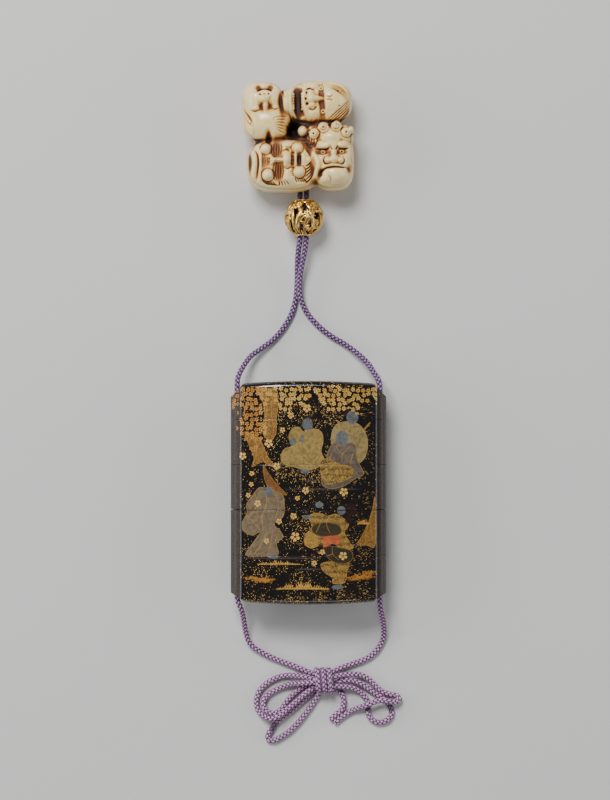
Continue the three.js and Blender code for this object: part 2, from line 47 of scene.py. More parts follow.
camera_data = bpy.data.cameras.new("camera")
camera_data.sensor_width = SENSOR
camera_data.lens = SENSOR * CAMERA_DISTANCE / VIEW_LENGTH
camera = bpy.data.objects.new("camera", camera_data)
camera.location = np.array([*VIEW_CENTRE, VIEW_LEVEL + CAMERA_DISTANCE]) * MM
bpy.context.scene.collection.objects.link(camera)
bpy.context.scene.camera = camera

# ---------- the cord ----------
# One purple silk cord, plaited round from dark and light bundles. Both its strands start in the toggle's
# foot, pass the bead side by side, part, run down the case's two tunnels, and are tied in a bow below it.
CORD_RADIUS = 1.15
LYING = 1.3
HOLD = {"x": -2.1, "z": 8.2, "apart": 1.28}
TOGGLE_FOOT = 120.9
TUNNEL_X = 28.6
ROUTE_STEP = 0.2
CORD_SIDES = 30
BUNDLE_COLUMNS = 6
BUNDLE_PITCH = 1.72
BUNDLE_SLANT = 0.3
BUNDLE_STAGGER = 0.45
BUNDLE_RELIEF = 0.22
BUNDLE_FULLNESS = 0.95
COLUMN_FULLNESS = 0.94
CORD_TWIST = 0.012
CUT_ROUND = 0.35

LEFT_STRAND = [
    (HOLD["x"] - HOLD["apart"], TOGGLE_FOOT + 5.5, HOLD["z"]),
    (HOLD["x"] - HOLD["apart"], TOGGLE_FOOT - 1, HOLD["z"]), (HOLD["x"] - HOLD["apart"], 110.3, 8),
    (-3.5, 102, 7.4), (-4.2, 96, 5), (-4.5, 90, 2.6), (-4.6, 83.5, 1.25), (-5.2, 77.5, LYING),
    (-7, 71.5, LYING), (-10, 66.3, LYING), (-14, 61.6, 1.4), (-18.5, 58.1, 2.4), (-23.4, 54.4, 4.6),
    (-26.6, 49.8, 8), (-28.4, 45.6, 10.8), (-TUNNEL_X, 42, 12), (-TUNNEL_X, 34, 12), (-TUNNEL_X, 0, 12),
    (-TUNNEL_X, -34, 12), (-TUNNEL_X, -41.8, 12), (-28.3, -44, 11.6), (-27.3, -46.4, 10.6),
    (-26.3, -50.4, 7.6), (-25.4, -56.4, 3.6), (-24.3, -60.3, 2), (-22.4, -62.9, 1.5),
    (-17.8, -65.8, LYING), (-12, -68.5, LYING), (-6.6, -70.4, 1.4), (-2.4, -72.1, 1.7), (2, -73.6, 2.1),
]
RIGHT_STRAND = [
    (HOLD["x"] + HOLD["apart"], TOGGLE_FOOT + 5.5, HOLD["z"]),
    (HOLD["x"] + HOLD["apart"], TOGGLE_FOOT - 1, HOLD["z"]), (HOLD["x"] + HOLD["apart"], 110.3, 8),
    (-0.9, 102, 7.5), (-1.7, 96, 6.1), (-2.9, 90, 4.9), (-3.7, 84, 3.9), (-2.9, 77.5, 2.8),
    (-0.6, 72.2, 1.4), (3.6, 67.3, LYING), (8.7, 63.1, LYING), (15, 59.3, 1.6), (20.9, 54.8, 3.6),
    (24.3, 51.2, 6), (26.2, 48, 8.8), (27.6, 45.8, 10.3), (28.4, 43.8, 11.6), (TUNNEL_X, 41.8, 12),
    (TUNNEL_X, 34, 12), (TUNNEL_X, 0, 12), (TUNNEL_X, -34, 12), (TUNNEL_X, -42, 12), (28.9, -46.6, 10.6),
    (30, -52, 6.4), (30.5, -56.6, 3), (29.8, -60.8, 1.4), (27.4, -64.6, LYING), (23.6, -67.6, LYING),
    (18.4, -69.6, LYING), (13.9, -71.2, 1.5), (10.4, -72.7, 2),
]
WIDE_LOOP = [
    (4, -75.8, 4.6), (-1, -74.9, 4), (-5, -74.5, 2.6), (-9.2, -74.5, 1.5), (-13.3, -75.6, LYING),
    (-16.9, -77.7, LYING), (-19.6, -80.4, LYING), (-21, -84, LYING), (-20.6, -88, 1.5),
    (-18.2, -90.7, 2.4), (-14.9, -91.8, 3.6), (-11.8, -90.6, 3.9), (-9, -88.3, 3.8), (-5.9, -85.7, 3.6),
    (-2.4, -82.6, 3.5), (1, -79.9, 3.6), (4, -77.8, 3.8),
]
INNER_LOOP = [
    (4, -76.6, 6), (0, -77, 5.4), (-3.2, -77.4, 4.2), (-7, -77.9, 2.2), (-10.3, -79, 1.5),
    (-13.7, -80.6, LYING), (-16.8, -82.6, 1.6), (-18.3, -85.2, 2.2), (-17.7, -87.9, 2.8),
    (-15.8, -89.3, 3.1), (-13.2, -89.6, 3.1), (-10.9, -88, 2.6), (-9.2, -85.6, 1.9), (-7.1, -83.1, 1.5),
    (-4.4, -80.7, 1.5), (-1.2, -78.8, 1.9), (3, -77.4, 2.4),
]
NARROW_LOOP = [
    (5.4, -78, 1.9), (4.2, -81.8, 1.4), (1.6, -86, LYING), (-1.2, -89.9, LYING), (-4.1, -93.5, LYING),
    (-7.5, -96.9, LYING), (-11.2, -99.5, LYING), (-14.1, -100.9, LYING), (-16, -100.6, LYING),
    (-16.4, -98.6, LYING), (-15.1, -96.6, LYING), (-13.6, -94.4, LYING), (-11.6, -92.4, LYING),
    (-9.2, -90.4, LYING), (-6.4, -88.2, LYING), (-3.4, -85.6, LYING), (-0.6, -83, LYING), (2.4, -80, 1.5),
]
RING_LOOP = [
    (13, -76.5, 3.2), (17.8, -76.5, 2.8), (21.2, -77.7, 2.4), (24, -79.6, 1.8), (26.8, -81.8, LYING),
    (29.6, -83.4, LYING), (32, -85.6, LYING), (33.4, -87.8, LYING), (33.6, -90.4, LYING),
    (31.6, -92.7, LYING), (28.6, -93.6, LYING), (26, -92.6, LYING), (24.4, -90.6, LYING),
    (24, -88.4, LYING), (24, -86, LYING), (23.2, -83.8, LYING), (21.2, -81.5, LYING), (18, -79.5, 2.6),
    (13.4, -78.8, 3.7), (9, -78.4, 3.9),
]
FOLDED_LOOP_AND_TAIL = [
    (8.4, -75.4, 5), (12.4, -74.3, 4.6), (18, -73.8, 3.4), (21.6, -74.4, 2.2), (24.6, -76.2, 1.5),
    (27.1, -78.7, LYING), (30, -81.1, LYING), (33, -82.2, LYING), (35.6, -82.7, LYING), (36.7, -84, 1.8),
    (35.2, -85, 2.8), (32.4, -84.7, 3.8), (29.4, -84.3, 4), (26.8, -84.9, 4), (24, -86.1, 3.9),
    (21.1, -87.2, 2.6), (18.1, -88.5, LYING), (15.2, -90.1, LYING), (12.7, -91.9, LYING),
    (10.4, -93.9, LYING),
]
SHORT_TAIL = [
    (9.4, -79.6, 1.6), (12.3, -80.6, 1.4), (14, -83, LYING), (14.2, -86, LYING), (13.4, -88.3, 1.5),
    (11.2, -90.2, 1.8), (8.8, -92.6, 1.4),
]
# The three wraps of the knot go round the bow's loops, along X.
wrap_turn = np.radians(np.arange(-40, 951, 30))
KNOT_WRAPS = list(zip(
    np.linspace(3.0, 9.6, len(wrap_turn)),
    -76.2 + 4.4 * np.cos(wrap_turn),
    4.4 + 3.1 * np.sin(wrap_turn),
))


def rounded_route(points, step):
    """The centripetal Catmull-Rom curve through the points, walked in equal steps. Between two points it is
    the repeated straight blend, by the knot values, of those two and their neighbours."""
    p = np.array(points, float)
    p = np.vstack([2 * p[0] - p[1], p, 2 * p[-1] - p[-2]])
    gaps = np.sqrt(np.linalg.norm(np.diff(p, axis=0), axis=1))
    values = np.concatenate([[0], np.cumsum(gaps)])[:, None, None]
    p = p[:, None, :]
    t0, t1, t2, t3 = (values[i:len(values) - 3 + i] for i in range(4))
    share = np.linspace(0, 1, 40, endpoint=False)[None, :, None]
    t = t1 + (t2 - t1) * share

    def between(a, b, ta, tb):
        return (a * (tb - t) + b * (t - ta)) / (tb - ta)

    first = between(p[:-3], p[1:-2], t0, t1)
    second = between(p[1:-2], p[2:-1], t1, t2)
    third = between(p[2:-1], p[3:], t2, t3)
    curve = between(between(first, second, t0, t2), between(second, third, t1, t3), t1, t2)
    curve = np.vstack([curve.reshape(-1, 3), p[-2]])
    along = np.concatenate([[0], np.cumsum(np.linalg.norm(np.diff(curve, axis=0), axis=1))])
    places = np.linspace(0, along[-1], int(along[-1] / step) + 1)
    return np.stack([np.interp(places, along, curve[:, axis]) for axis in range(3)], 1)


def carried_sides(route):
    """Tangents of the route, and a side direction carried along it with the least turning. The turn from one
    tangent to the next is 1 + K + K.K / (1 + cosine), K the cross-product matrix; all are multiplied up."""
    tangent = np.gradient(route, axis=0)
    tangent /= np.linalg.norm(tangent, axis=1)[:, None]
    axis = np.cross(tangent[:-1], tangent[1:])
    cosine = (tangent[:-1] * tangent[1:]).sum(1)
    cross = np.zeros((len(axis), 3, 3))
    cross[:, [2, 0, 1], [1, 2, 0]] = axis
    cross[:, [1, 2, 0], [2, 0, 1]] = -axis
    turns = np.eye(3) + cross + cross @ cross / (1 + cosine)[:, None, None]
    turns = np.concatenate([np.eye(3)[None], turns])
    reach = 1
    while reach < len(turns):
        turns[reach:] = turns[reach:] @ turns[:-reach]
        reach *= 2
    side = np.cross([0, 0, 1], tangent[0])
    side = turns @ (side / np.linalg.norm(side))
    side -= tangent * (side * tangent).sum(1)[:, None]
    return tangent, side / np.linalg.norm(side, axis=1)[:, None]


def new_piece(name, points, quads, triangles):
    """A smooth mesh object in metres from points in millimetres and its four- and three-cornered faces."""
    mesh = bpy.data.meshes.new(name)
    corners = np.concatenate([quads.ravel(), triangles.ravel()])
    starts = np.concatenate([np.arange(len(quads)) * 4, len(quads) * 4 + np.arange(len(triangles)) * 3])
    mesh.vertices.add(len(points))
    mesh.vertices.foreach_set("co", (np.asarray(points) * MM).ravel().astype(np.float32))
    mesh.loops.add(len(corners))
    mesh.loops.foreach_set("vertex_index", corners.astype(np.int32))
    mesh.polygons.add(len(starts))
    mesh.polygons.foreach_set("loop_start", starts.astype(np.int32))
    mesh.update(calc_edges=True)
    mesh.polygons.foreach_set("use_smooth", np.ones(len(starts), bool))
    piece = bpy.data.objects.new(name, mesh)
    bpy.context.scene.collection.objects.link(piece)
    return piece


def tube_faces(rings, around):
    """Faces of a tube of so many rings, closed round, with a fan at either end about the last two points."""
    start = np.arange(rings - 1)[:, None] * around
    here = np.arange(around)[None, :]
    there = (here + 1) % around
    quads = np.stack([start + here, start + there, start + around + there, start + around + here], -1)
    foot, crown = rings * around, rings * around + 1
    here, there = here[0], there[0]
    last = (rings - 1) * around
    bottom = np.stack([np.full(around, foot), there, here], 1)
    top = np.stack([np.full(around, crown), last + here, last + there], 1)
    return quads.reshape(-1, 4), np.vstack([bottom, top])


def bundle_height(column, lengthwise):
    """How proud the plait stands, 0 to 1: bundles follow each other down a column, with those of the next
    column staggered. Each is round across itself and towards its column's edges."""
    across = column % 1 - 0.5
    odd = np.floor(column) % 2
    bundle = 2 * (lengthwise + odd * BUNDLE_STAGGER + (1 - 2 * odd) * across * BUNDLE_SLANT)
    ridge = np.sqrt(np.clip(1 - BUNDLE_FULLNESS * (2 * (bundle % 1) - 1) ** 2, 0, 1))
    return ridge * np.sqrt(np.clip(np.cos(np.pi * across * COLUMN_FULLNESS), 0, 1))


def plaited_cord(name, route):
    """A cord's surface: at a turn round it and a length along it, out from the route by the radius less the
    plait's hollow, drawn in to a round at both cut ends. Its UV map counts columns and plait pitches."""
    tangent, side = carried_sides(route)
    up = np.cross(tangent, side)
    along = np.arange(len(route)) * np.linalg.norm(route[1] - route[0])
    from_end = np.minimum(along + 0.02, along[-1] - along + 0.02)
    blunt = np.sqrt(1 - (1 - np.clip(from_end / CUT_ROUND, 0, 1)) ** 2)
    column = np.arange(CORD_SIDES) * BUNDLE_COLUMNS / CORD_SIDES
    turn = 2 * np.pi * column / BUNDLE_COLUMNS + CORD_TWIST * along[:, None]
    height = bundle_height(column[None, :], along[:, None] / BUNDLE_PITCH)
    radius = (CORD_RADIUS - BUNDLE_RELIEF * (1 - height)) * blunt[:, None]
    out = np.cos(turn)[..., None] * side[:, None] + np.sin(turn)[..., None] * up[:, None]
    points = (route[:, None] + radius[..., None] * out).reshape(-1, 3)
    points = np.vstack([points, route[0], route[-1]])
    quads, triangles = tube_faces(len(route), CORD_SIDES)
    piece = new_piece(name, points, quads, triangles)
    u = np.array([0, 1, 1, 0]) + np.tile(np.arange(CORD_SIDES), len(route) - 1)[:, None]
    v = np.array([0, 0, 1, 1]) + np.repeat(np.arange(len(route) - 1), CORD_SIDES)[:, None]
    v = v * (along[1] / BUNDLE_PITCH)
    uv = np.stack([u * BUNDLE_COLUMNS / CORD_SIDES, v], -1).reshape(-1, 2)
    ends = np.zeros((len(triangles) * 3, 2))
    ends[CORD_SIDES * 3:, 1] = along[-1] / BUNDLE_PITCH
    layer = piece.data.uv_layers.new(name="plait")
    layer.data.foreach_set("uv", np.vstack([uv, ends]).ravel().astype(np.float32))
    return piece


def tint(red, green, blue):
    """A colour from its display values of 0 to 255, made linear by the power 2.2."""
    return (*((np.array([red, green, blue]) / 255) ** 2.2).tolist(), 1.0)


def new_material(name, **finish):
    """A material whose principled shader has these finish values on its own sockets."""
    material = bpy.data.materials.new(name)
    material.use_nodes = True
    shader = material.node_tree.nodes["Principled BSDF"]
    for socket, value in finish.items():
        shader.inputs[socket.replace("_", " ")].default_value = value
    return material, material.node_tree, shader


def wired(tree, kind, inputs, output=0, **settings):
    """A shader node with its settings, and with a value or another node's output on each input. Gives back
    one of its outputs."""
    made = tree.nodes.new("ShaderNode" + kind)
    for name, value in settings.items():
        setattr(made, name, value)
    for name, value in inputs.items():
        if isinstance(value, bpy.types.NodeSocket):
            tree.links.new(value, made.inputs[name])
        else:
            made.inputs[name].default_value = value
    return made.outputs[output]


def reckoned(tree, operation, *values):
    """One step of arithmetic on values and node outputs."""
    return wired(tree, "Math", dict(enumerate(values)), operation=operation)


def product(tree, first, second):
    """Two values multiplied."""
    return reckoned(tree, "MULTIPLY", first, second)


def less(tree, first, second):
    """The first value less the second."""
    return reckoned(tree, "SUBTRACT", first, second)


def ramped(tree, value, low, high, to_low=0.0, to_high=1.0):
    """The value carried smoothly from one range to another, and held at its ends."""
    inputs = {0: value, 1: low, 2: high, 3: to_low, 4: to_high}
    return wired(tree, "MapRange", inputs, interpolation_type="SMOOTHSTEP")


def mixed(tree, share, first, second, how="MIX"):
    """Two colours mixed by a share."""
    return wired(tree, "Mix", {0: share, 6: first, 7: second}, output=2, data_type="RGBA", blend_type=how)


def piece_place(tree):
    """The place on the piece, in metres from the object's origin."""
    return wired(tree, "TexCoord", {}, output="Object")


def axis_of(tree, vector, axis):
    """One axis of a vector, "X", "Y" or "Z"."""
    return wired(tree, "SeparateXYZ", {0: vector}, output=axis)


def noise(tree, place, scale, detail):
    """Soft cloudy noise, so many clouds to a metre."""
    return wired(tree, "TexNoise", {"Vector": place, "Scale": scale, "Detail": detail})


def led_by(shader, socket, value):
    """The shader's socket follows a node's output."""
    shader.id_data.links.new(value, shader.inputs[socket])


def fine_relief(shader, height, strength, distance):
    """Relief too fine for the mesh, as a bump of the shader's normal."""
    inputs = {"Height": height, "Strength": strength, "Distance": distance}
    led_by(shader, "Normal", wired(shader.id_data, "Bump", inputs))


# Places in the bow painted darker as shade, where strands turn under others: middle and radius.
SHADED_PLACES = [
    ((-13.7, -95.6, 1.5), 2.6), ((32.9, -88, 1.5), 2.2), ((24, -87.6, 1.5), 2), ((13.3, -80.4, 1.5), 1.8),
]
silk, tree, shader = new_material("purple_silk", Roughness=0.62, Sheen_Weight=0.18, Sheen_Roughness=0.4)
shader.inputs["Sheen Tint"].default_value = tint(214, 180, 224)
plait = wired(tree, "UVMap", {}, uv_map="plait")
column = axis_of(tree, plait, "X")
lengthwise = axis_of(tree, plait, "Y")
across = less(tree, reckoned(tree, "FRACT", column), 0.5)
parity = reckoned(tree, "MODULO", reckoned(tree, "FLOOR", column), 2.0)
way = reckoned(tree, "MULTIPLY_ADD", parity, -2.0, 1.0)
slanted = product(tree, product(tree, way, across), BUNDLE_SLANT)
staggered = reckoned(tree, "MULTIPLY_ADD", parity, BUNDLE_STAGGER, lengthwise)
bundle = reckoned(tree, "ADD", staggered, slanted)
place = piece_place(tree)
down = axis_of(tree, place, "Y")
shifted = reckoned(tree, "FRACT", reckoned(tree, "ADD", bundle, 0.25))
from_middle = reckoned(tree, "ABSOLUTE", less(tree, shifted, 0.5))
light_from = ramped(tree, down, -0.055, -0.074, 0.29, 0.2)
is_light = ramped(tree, less(tree, from_middle, light_from), -0.03, 0.03)
is_light = product(tree, is_light, ramped(tree, reckoned(tree, "ABSOLUTE", across), 0.46, 0.34))
halves = reckoned(tree, "FRACT", product(tree, bundle, 2.0))
hollow = ramped(tree, reckoned(tree, "ABSOLUTE", less(tree, halves, 0.5)), 0.3, 0.5)
threads = reckoned(tree, "SINE", product(tree, bundle, 2 * np.pi * 9))
fading = noise(tree, place, 55.0, 3.0)
low_down = ramped(tree, down, 0.05, -0.075)
lilac = mixed(tree, low_down, tint(170, 124, 180), tint(224, 168, 212))
plum = mixed(tree, low_down, tint(44, 12, 60), tint(74, 26, 80))
colour = mixed(tree, is_light, plum, lilac)
# Painted shade: the grooves between the plait's bundles are darkened.
colour = mixed(tree, product(tree, hollow, 0.6), colour, tint(34, 14, 44))
glint = product(tree, ramped(tree, threads, -1.0, 1.0, 0.05, 0.35), is_light)
colour = mixed(tree, glint, colour, tint(238, 220, 240))
colour = mixed(tree, ramped(tree, fading, 0.35, 0.7, 0.0, 0.2), colour, tint(104, 62, 122))
# Painted shadow: the cord is darkened where it runs up into the toggle's shadow, and at the shaded places in
# the bow.
painted_shade = ramped(tree, down, 0.1165, 0.1195, 0.0, 0.85)
for at, radius in SHADED_PLACES:
    spot = tuple(MM * part for part in at)
    away = wired(tree, "VectorMath", {0: place, 1: spot}, output=1, operation="DISTANCE")
    spot_shade = ramped(tree, away, radius * MM, 0.6 * radius * MM, 0.0, 0.8)
    painted_shade = reckoned(tree, "MAXIMUM", painted_shade, spot_shade)
# The painted shadow and shade, mixed in as a dark plum.
colour = mixed(tree, painted_shade, colour, tint(26, 10, 32))
led_by(shader, "Base Color", colour)
fine_relief(shader, threads, 0.5, 0.00004)

cord_routes = {
    "cord_left_braid": LEFT_STRAND + KNOT_WRAPS + [(9.6, -79, 1.8), (11, -78, 2.4)] + RING_LOOP
    + NARROW_LOOP + FOLDED_LOOP_AND_TAIL,
    "cord_right_braid": RIGHT_STRAND + [(7, -74.4, 3.4)] + WIDE_LOOP + [(7.4, -77.4, 4.6), (7.4, -76.2, 5.6)]
    + INNER_LOOP + [(6.2, -77.6, 1.6)] + SHORT_TAIL,
}
for (name, points), node, way in zip(cord_routes.items(), ("cord_left", "cord_right"), (-1, 1)):
    route = rounded_route(points, ROUTE_STEP)
    cord = plaited_cord(name, route)
    cord.data.materials.append(silk)
    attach(cord, "root")
    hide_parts(node, "cord_bow")

# ---------- the case ----------
# A lid and four boxes of lacquered wood that nest on thin collars, each with its length of the two
# tunnelled ribs for the cord. Black lacquer, sprinkled and painted with gold and silver powders before
# the last coat.
PANEL_HALF = 27.4
CASE_HALF_DEPTH = 12.0
PANEL_EDGE = 8.6
FLAT_HALF = 10.0
EDGE_ROUND = 0.9
CASE_END = 44.5
END_CROWN = 1.0
CORNER = 2.4
END_ROUND = 2.4
JOINTS = [29.1, 11.1, -6.9, -25.1]
SEAMS = [0.07, 0.07, 0.3, 0.07]
SEAM_ROUND = 0.05
WALL = 2.4
COLLAR_HEIGHT = 5.0
COLLAR_INSET = 1.3
SOCKET_INSET = 1.05
SOCKET_DEPTH = 5.4
BOX_FLOOR = 1.3
END_WALL = 2.4
CORNER_FILL = 0.5
RIM_ROUND = 0.1
ROW_STEP = 0.25
FRONT_COLUMNS = 218
BACK_COLUMNS = 90
EDGE_COLUMNS = 6
SIDE_COLUMNS = 6
RUNNER_HALF = 31.2
RUNNER_DEPTH = 4.4
LID_RUNNER = {"end": 41.6, "slope": 3.4}
FOOT_RUNNER = {"end": 42.2, "slope": 2.0}
RUNNER_SIDES = 40
RUNNER_ROOT = 1.2
RIB_EASE = 0.02
TUNNEL_RADIUS = 1.4
CROWN_SHARES = (0.97, 0.9, 0.8, 0.66, 0.5, 0.34, 0.18, 0.06)
OUTSIDE, INSIDE, COLLAR_FACE = 0.0, 1.0, 2.0


def lens(inset):
    """A panel section, inset from the outline: flat in the middle, then falling by the square of the way to
    its edge, which turns over on a parabola to the straight side. The back is the front upside down."""
    half, middle, edge = PANEL_HALF - inset, CASE_HALF_DEPTH - inset, PANEL_EDGE - inset
    shoulder = half - EDGE_ROUND
    slope = 2 * (middle - edge) / (shoulder - FLAT_HALF)

    def face(columns):
        x = np.linspace(-1, 1, columns + 1) * shoulder
        way = np.clip((np.abs(x) - FLAT_HALF) / (shoulder - FLAT_HALF), 0, 1)
        return x, middle - (middle - edge) * way ** 2

    t = np.linspace(0, 1, EDGE_COLUMNS + 1)[1:]
    turn_x = shoulder * (1 - t) ** 2 + half * (1 - (1 - t) ** 2)
    turn_z = edge * (1 - t) ** 2 + (edge - slope * EDGE_ROUND) * 2 * t * (1 - t)
    turn_z += (edge - EDGE_ROUND) * t ** 2
    side_z = np.linspace(edge - EDGE_ROUND, EDGE_ROUND - edge, SIDE_COLUMNS + 2)[1:-1]
    front_x, front_z = face(FRONT_COLUMNS)
    back_x, back_z = face(BACK_COLUMNS)
    right_x = np.concatenate([turn_x, np.full(len(side_z), half), turn_x[::-1]])
    right_z = np.concatenate([turn_z, side_z, -turn_z[::-1]])
    x = np.concatenate([front_x, right_x, back_x[::-1], -right_x[::-1]])
    z = np.concatenate([front_z, right_z, -back_z[::-1], right_z])
    z[-len(right_z):] = -right_z
    x[-len(right_x):] = -right_x
    return x, z


def case_rings(*places):
    """Rings of the case, each at an inset from the outline and a height y along the case."""
    rings = [(*lens(inset), y) for inset, y in places]
    return [np.stack([x, np.full(len(x), y), z + CASE_HALF_DEPTH], 1) for x, z, y in rings]


def end_ring(share, way, drawn_in=1.0):
    """A ring of a crowned end: with a share from 0 to 1 it draws in by CORNER and END_ROUND along a quarter
    circle, and the end falls away by the square of x. drawn_in shrinks it further, towards the crown."""
    turn = 1 - np.sqrt(1 - share ** 2)
    x, z = lens(0)
    x = x * (1 - CORNER * turn / PANEL_HALF) * drawn_in
    z = z * (1 - END_ROUND * turn / CASE_HALF_DEPTH) * drawn_in
    y = way * (CASE_END - CORNER * (1 - share) - END_CROWN * (x / PANEL_HALF) ** 2)
    return np.stack([x, y, z + CASE_HALF_DEPTH], 1)


def outer_rings(low, high):
    """Rings up the outside, a little under ROW_STEP apart."""
    heights = np.linspace(low, high, int((high - low) / ROW_STEP) + 2)
    return case_rings(*((0, y) for y in heights))


def crowned_end(way):
    """Rings from where the end's rounding starts to its crown."""
    rounding = [end_ring(np.sin(a), way) for a in np.linspace(0, np.pi / 2, 15)]
    return rounding + [end_ring(1.0, way, drawn) for drawn in CROWN_SHARES]


def part_ends(index):
    """Whether a part is the lid or the foot, and where it starts and ends. Part 0 is the lid."""
    is_lid, is_foot = index == 0, index == len(JOINTS)
    low = -CASE_END if is_foot else JOINTS[index] + SEAMS[index] / 2
    high = CASE_END if is_lid else JOINTS[index - 1] - SEAMS[index - 1] / 2
    return is_lid, is_foot, low, high


def shell_rings(index):
    """The rings of one part, from the middle of its hollow's floor, round its rim, to the middle of its
    outer end: the hollow's, the collar's or socket's, and the outside's, and then both middles' heights."""
    is_lid, is_foot, low, high = part_ends(index)
    soft = SEAM_ROUND * (1 - np.sqrt(0.5))
    straight_end = CASE_END - CORNER - END_CROWN
    if is_lid:
        roof = CASE_END - END_WALL
        inner = case_rings(
            (WALL + CORNER_FILL, roof), (WALL, roof - CORNER_FILL), (WALL, low + SOCKET_DEPTH))
        lip = case_rings((SOCKET_INSET, low + SOCKET_DEPTH), (SOCKET_INSET, low))
        outer = case_rings((SEAM_ROUND, low), (soft, low + soft))
        outer += outer_rings(low + SEAM_ROUND, straight_end) + crowned_end(1)
        return inner, lip, outer, roof, CASE_END
    floor = -CASE_END + END_WALL if is_foot else low + SOCKET_DEPTH + BOX_FLOOR
    rim = high + COLLAR_HEIGHT
    inner = case_rings((WALL + CORNER_FILL, floor), (WALL, floor + CORNER_FILL), (WALL, rim - RIM_ROUND))
    lip = case_rings(
        (WALL - RIM_ROUND, rim), (COLLAR_INSET + RIM_ROUND, rim), (COLLAR_INSET, rim - RIM_ROUND),
        (COLLAR_INSET, high + 0.7))
    outer = case_rings(
        (COLLAR_INSET, high + 0.6), (COLLAR_INSET, high), (SEAM_ROUND, high), (soft, high - soft))
    if is_foot:
        outer += outer_rings(-straight_end, high - SEAM_ROUND)[::-1] + crowned_end(-1)
        return inner, lip, outer, floor, -CASE_END
    outer += outer_rings(low + SEAM_ROUND, high - SEAM_ROUND)[::-1]
    outer += case_rings(
        (soft, low + soft), (SEAM_ROUND, low), (SOCKET_INSET, low), (SOCKET_INSET, low + SOCKET_DEPTH))
    return inner, lip, outer, floor, low + SOCKET_DEPTH


def runner_points(side, index):
    """One length of a cord rib: rings of its half-round section up the outside and of its round tunnel back
    down, closed on themselves. At the case's ends it slopes back to the panel."""
    _, _, low, high = part_ends(index)
    turn = np.linspace(0, 2 * np.pi, RUNNER_SIDES, endpoint=False)
    out = np.maximum(np.sin(turn), -0.16) * (RUNNER_HALF - PANEL_HALF)
    within = np.maximum(PANEL_HALF + 8 * np.sin(turn), PANEL_HALF - RUNNER_ROOT)
    section_x = np.where(np.sin(turn) > 0, PANEL_HALF + out, within)
    section_z = RUNNER_DEPTH * np.cos(turn)
    bore_x, bore_z = TUNNEL_X + TUNNEL_RADIUS * np.sin(turn), TUNNEL_RADIUS * np.cos(turn)

    def level(x, y):
        outward = np.maximum(0, x - PANEL_HALF) / (RUNNER_HALF - PANEL_HALF)
        lowest = FOOT_RUNNER["slope"] * outward - FOOT_RUNNER["end"]
        return np.clip(y, lowest, LID_RUNNER["end"] - LID_RUNNER["slope"] * outward)

    def ring(x, z, y):
        return np.stack([side * x, level(x, y), z + CASE_HALF_DEPTH], 1)

    heights = np.linspace(low, high, 9)
    eased_x, eased_z = section_x + RIB_EASE * (section_x.mean() - section_x), section_z * (1 - RIB_EASE)
    rings = [ring(section_x, section_z, y) for y in heights[1:-1]]
    rings = [ring(eased_x, eased_z, low), ring(section_x, section_z, low + SEAM_ROUND), *rings]
    rings += [ring(section_x, section_z, high - SEAM_ROUND), ring(eased_x, eased_z, high)]
    rings += [ring(bore_x, bore_z, y) for y in heights[::-1]]
    return np.array(rings)


def turned_outwards(points, quads, triangles):
    """The faces, all turned over if the body's signed volume, the sum of a . (b x c) / 6, is below 0."""
    corners = np.vstack([quads[:, :3], quads[:, [0, 2, 3]], triangles])
    a, b, c = points[corners[:, 0]], points[corners[:, 1]], points[corners[:, 2]]
    if (a * np.cross(b, c)).sum() < 0:
        return quads[:, ::-1], triangles[:, ::-1]
    return quads, triangles


def closed_shell(index):
    """Points, faces and zones of one part with its two ribs."""
    inner, lip, outer, first, last = shell_rings(index)
    rings = np.array(inner + lip + outer)
    around = rings.shape[1]
    points = [rings.reshape(-1, 3), np.array([[0, first, CASE_HALF_DEPTH], [0, last, CASE_HALF_DEPTH]])]
    zones = [np.repeat([INSIDE] * len(inner) + [COLLAR_FACE] * len(lip) + [OUTSIDE] * len(outer), around)]
    zones.append(np.array([INSIDE, OUTSIDE]))
    quads, triangles = tube_faces(len(rings), around)
    quads, triangles = turned_outwards(np.vstack(points), quads, triangles)
    all_quads = [quads]
    total = len(rings) * around + 2
    for side in (-1, 1):
        rib = runner_points(side, index)
        count, sides = rib.shape[:2]
        start = np.arange(count)[:, None] * sides
        here = np.arange(sides)[None, :]
        there = (here + 1) % sides
        above = (start + sides) % (count * sides)
        quads = np.stack([start + here, start + there, above + there, above + here], -1).reshape(-1, 4)
        quads, _ = turned_outwards(rib.reshape(-1, 3), quads, np.zeros((0, 3), int))
        points.append(rib.reshape(-1, 3))
        zones.append(np.full(count * sides, OUTSIDE))
        all_quads.append(quads + total)
        total += count * sides
    return np.vstack(points), np.vstack(all_quads), triangles, np.concatenate(zones)


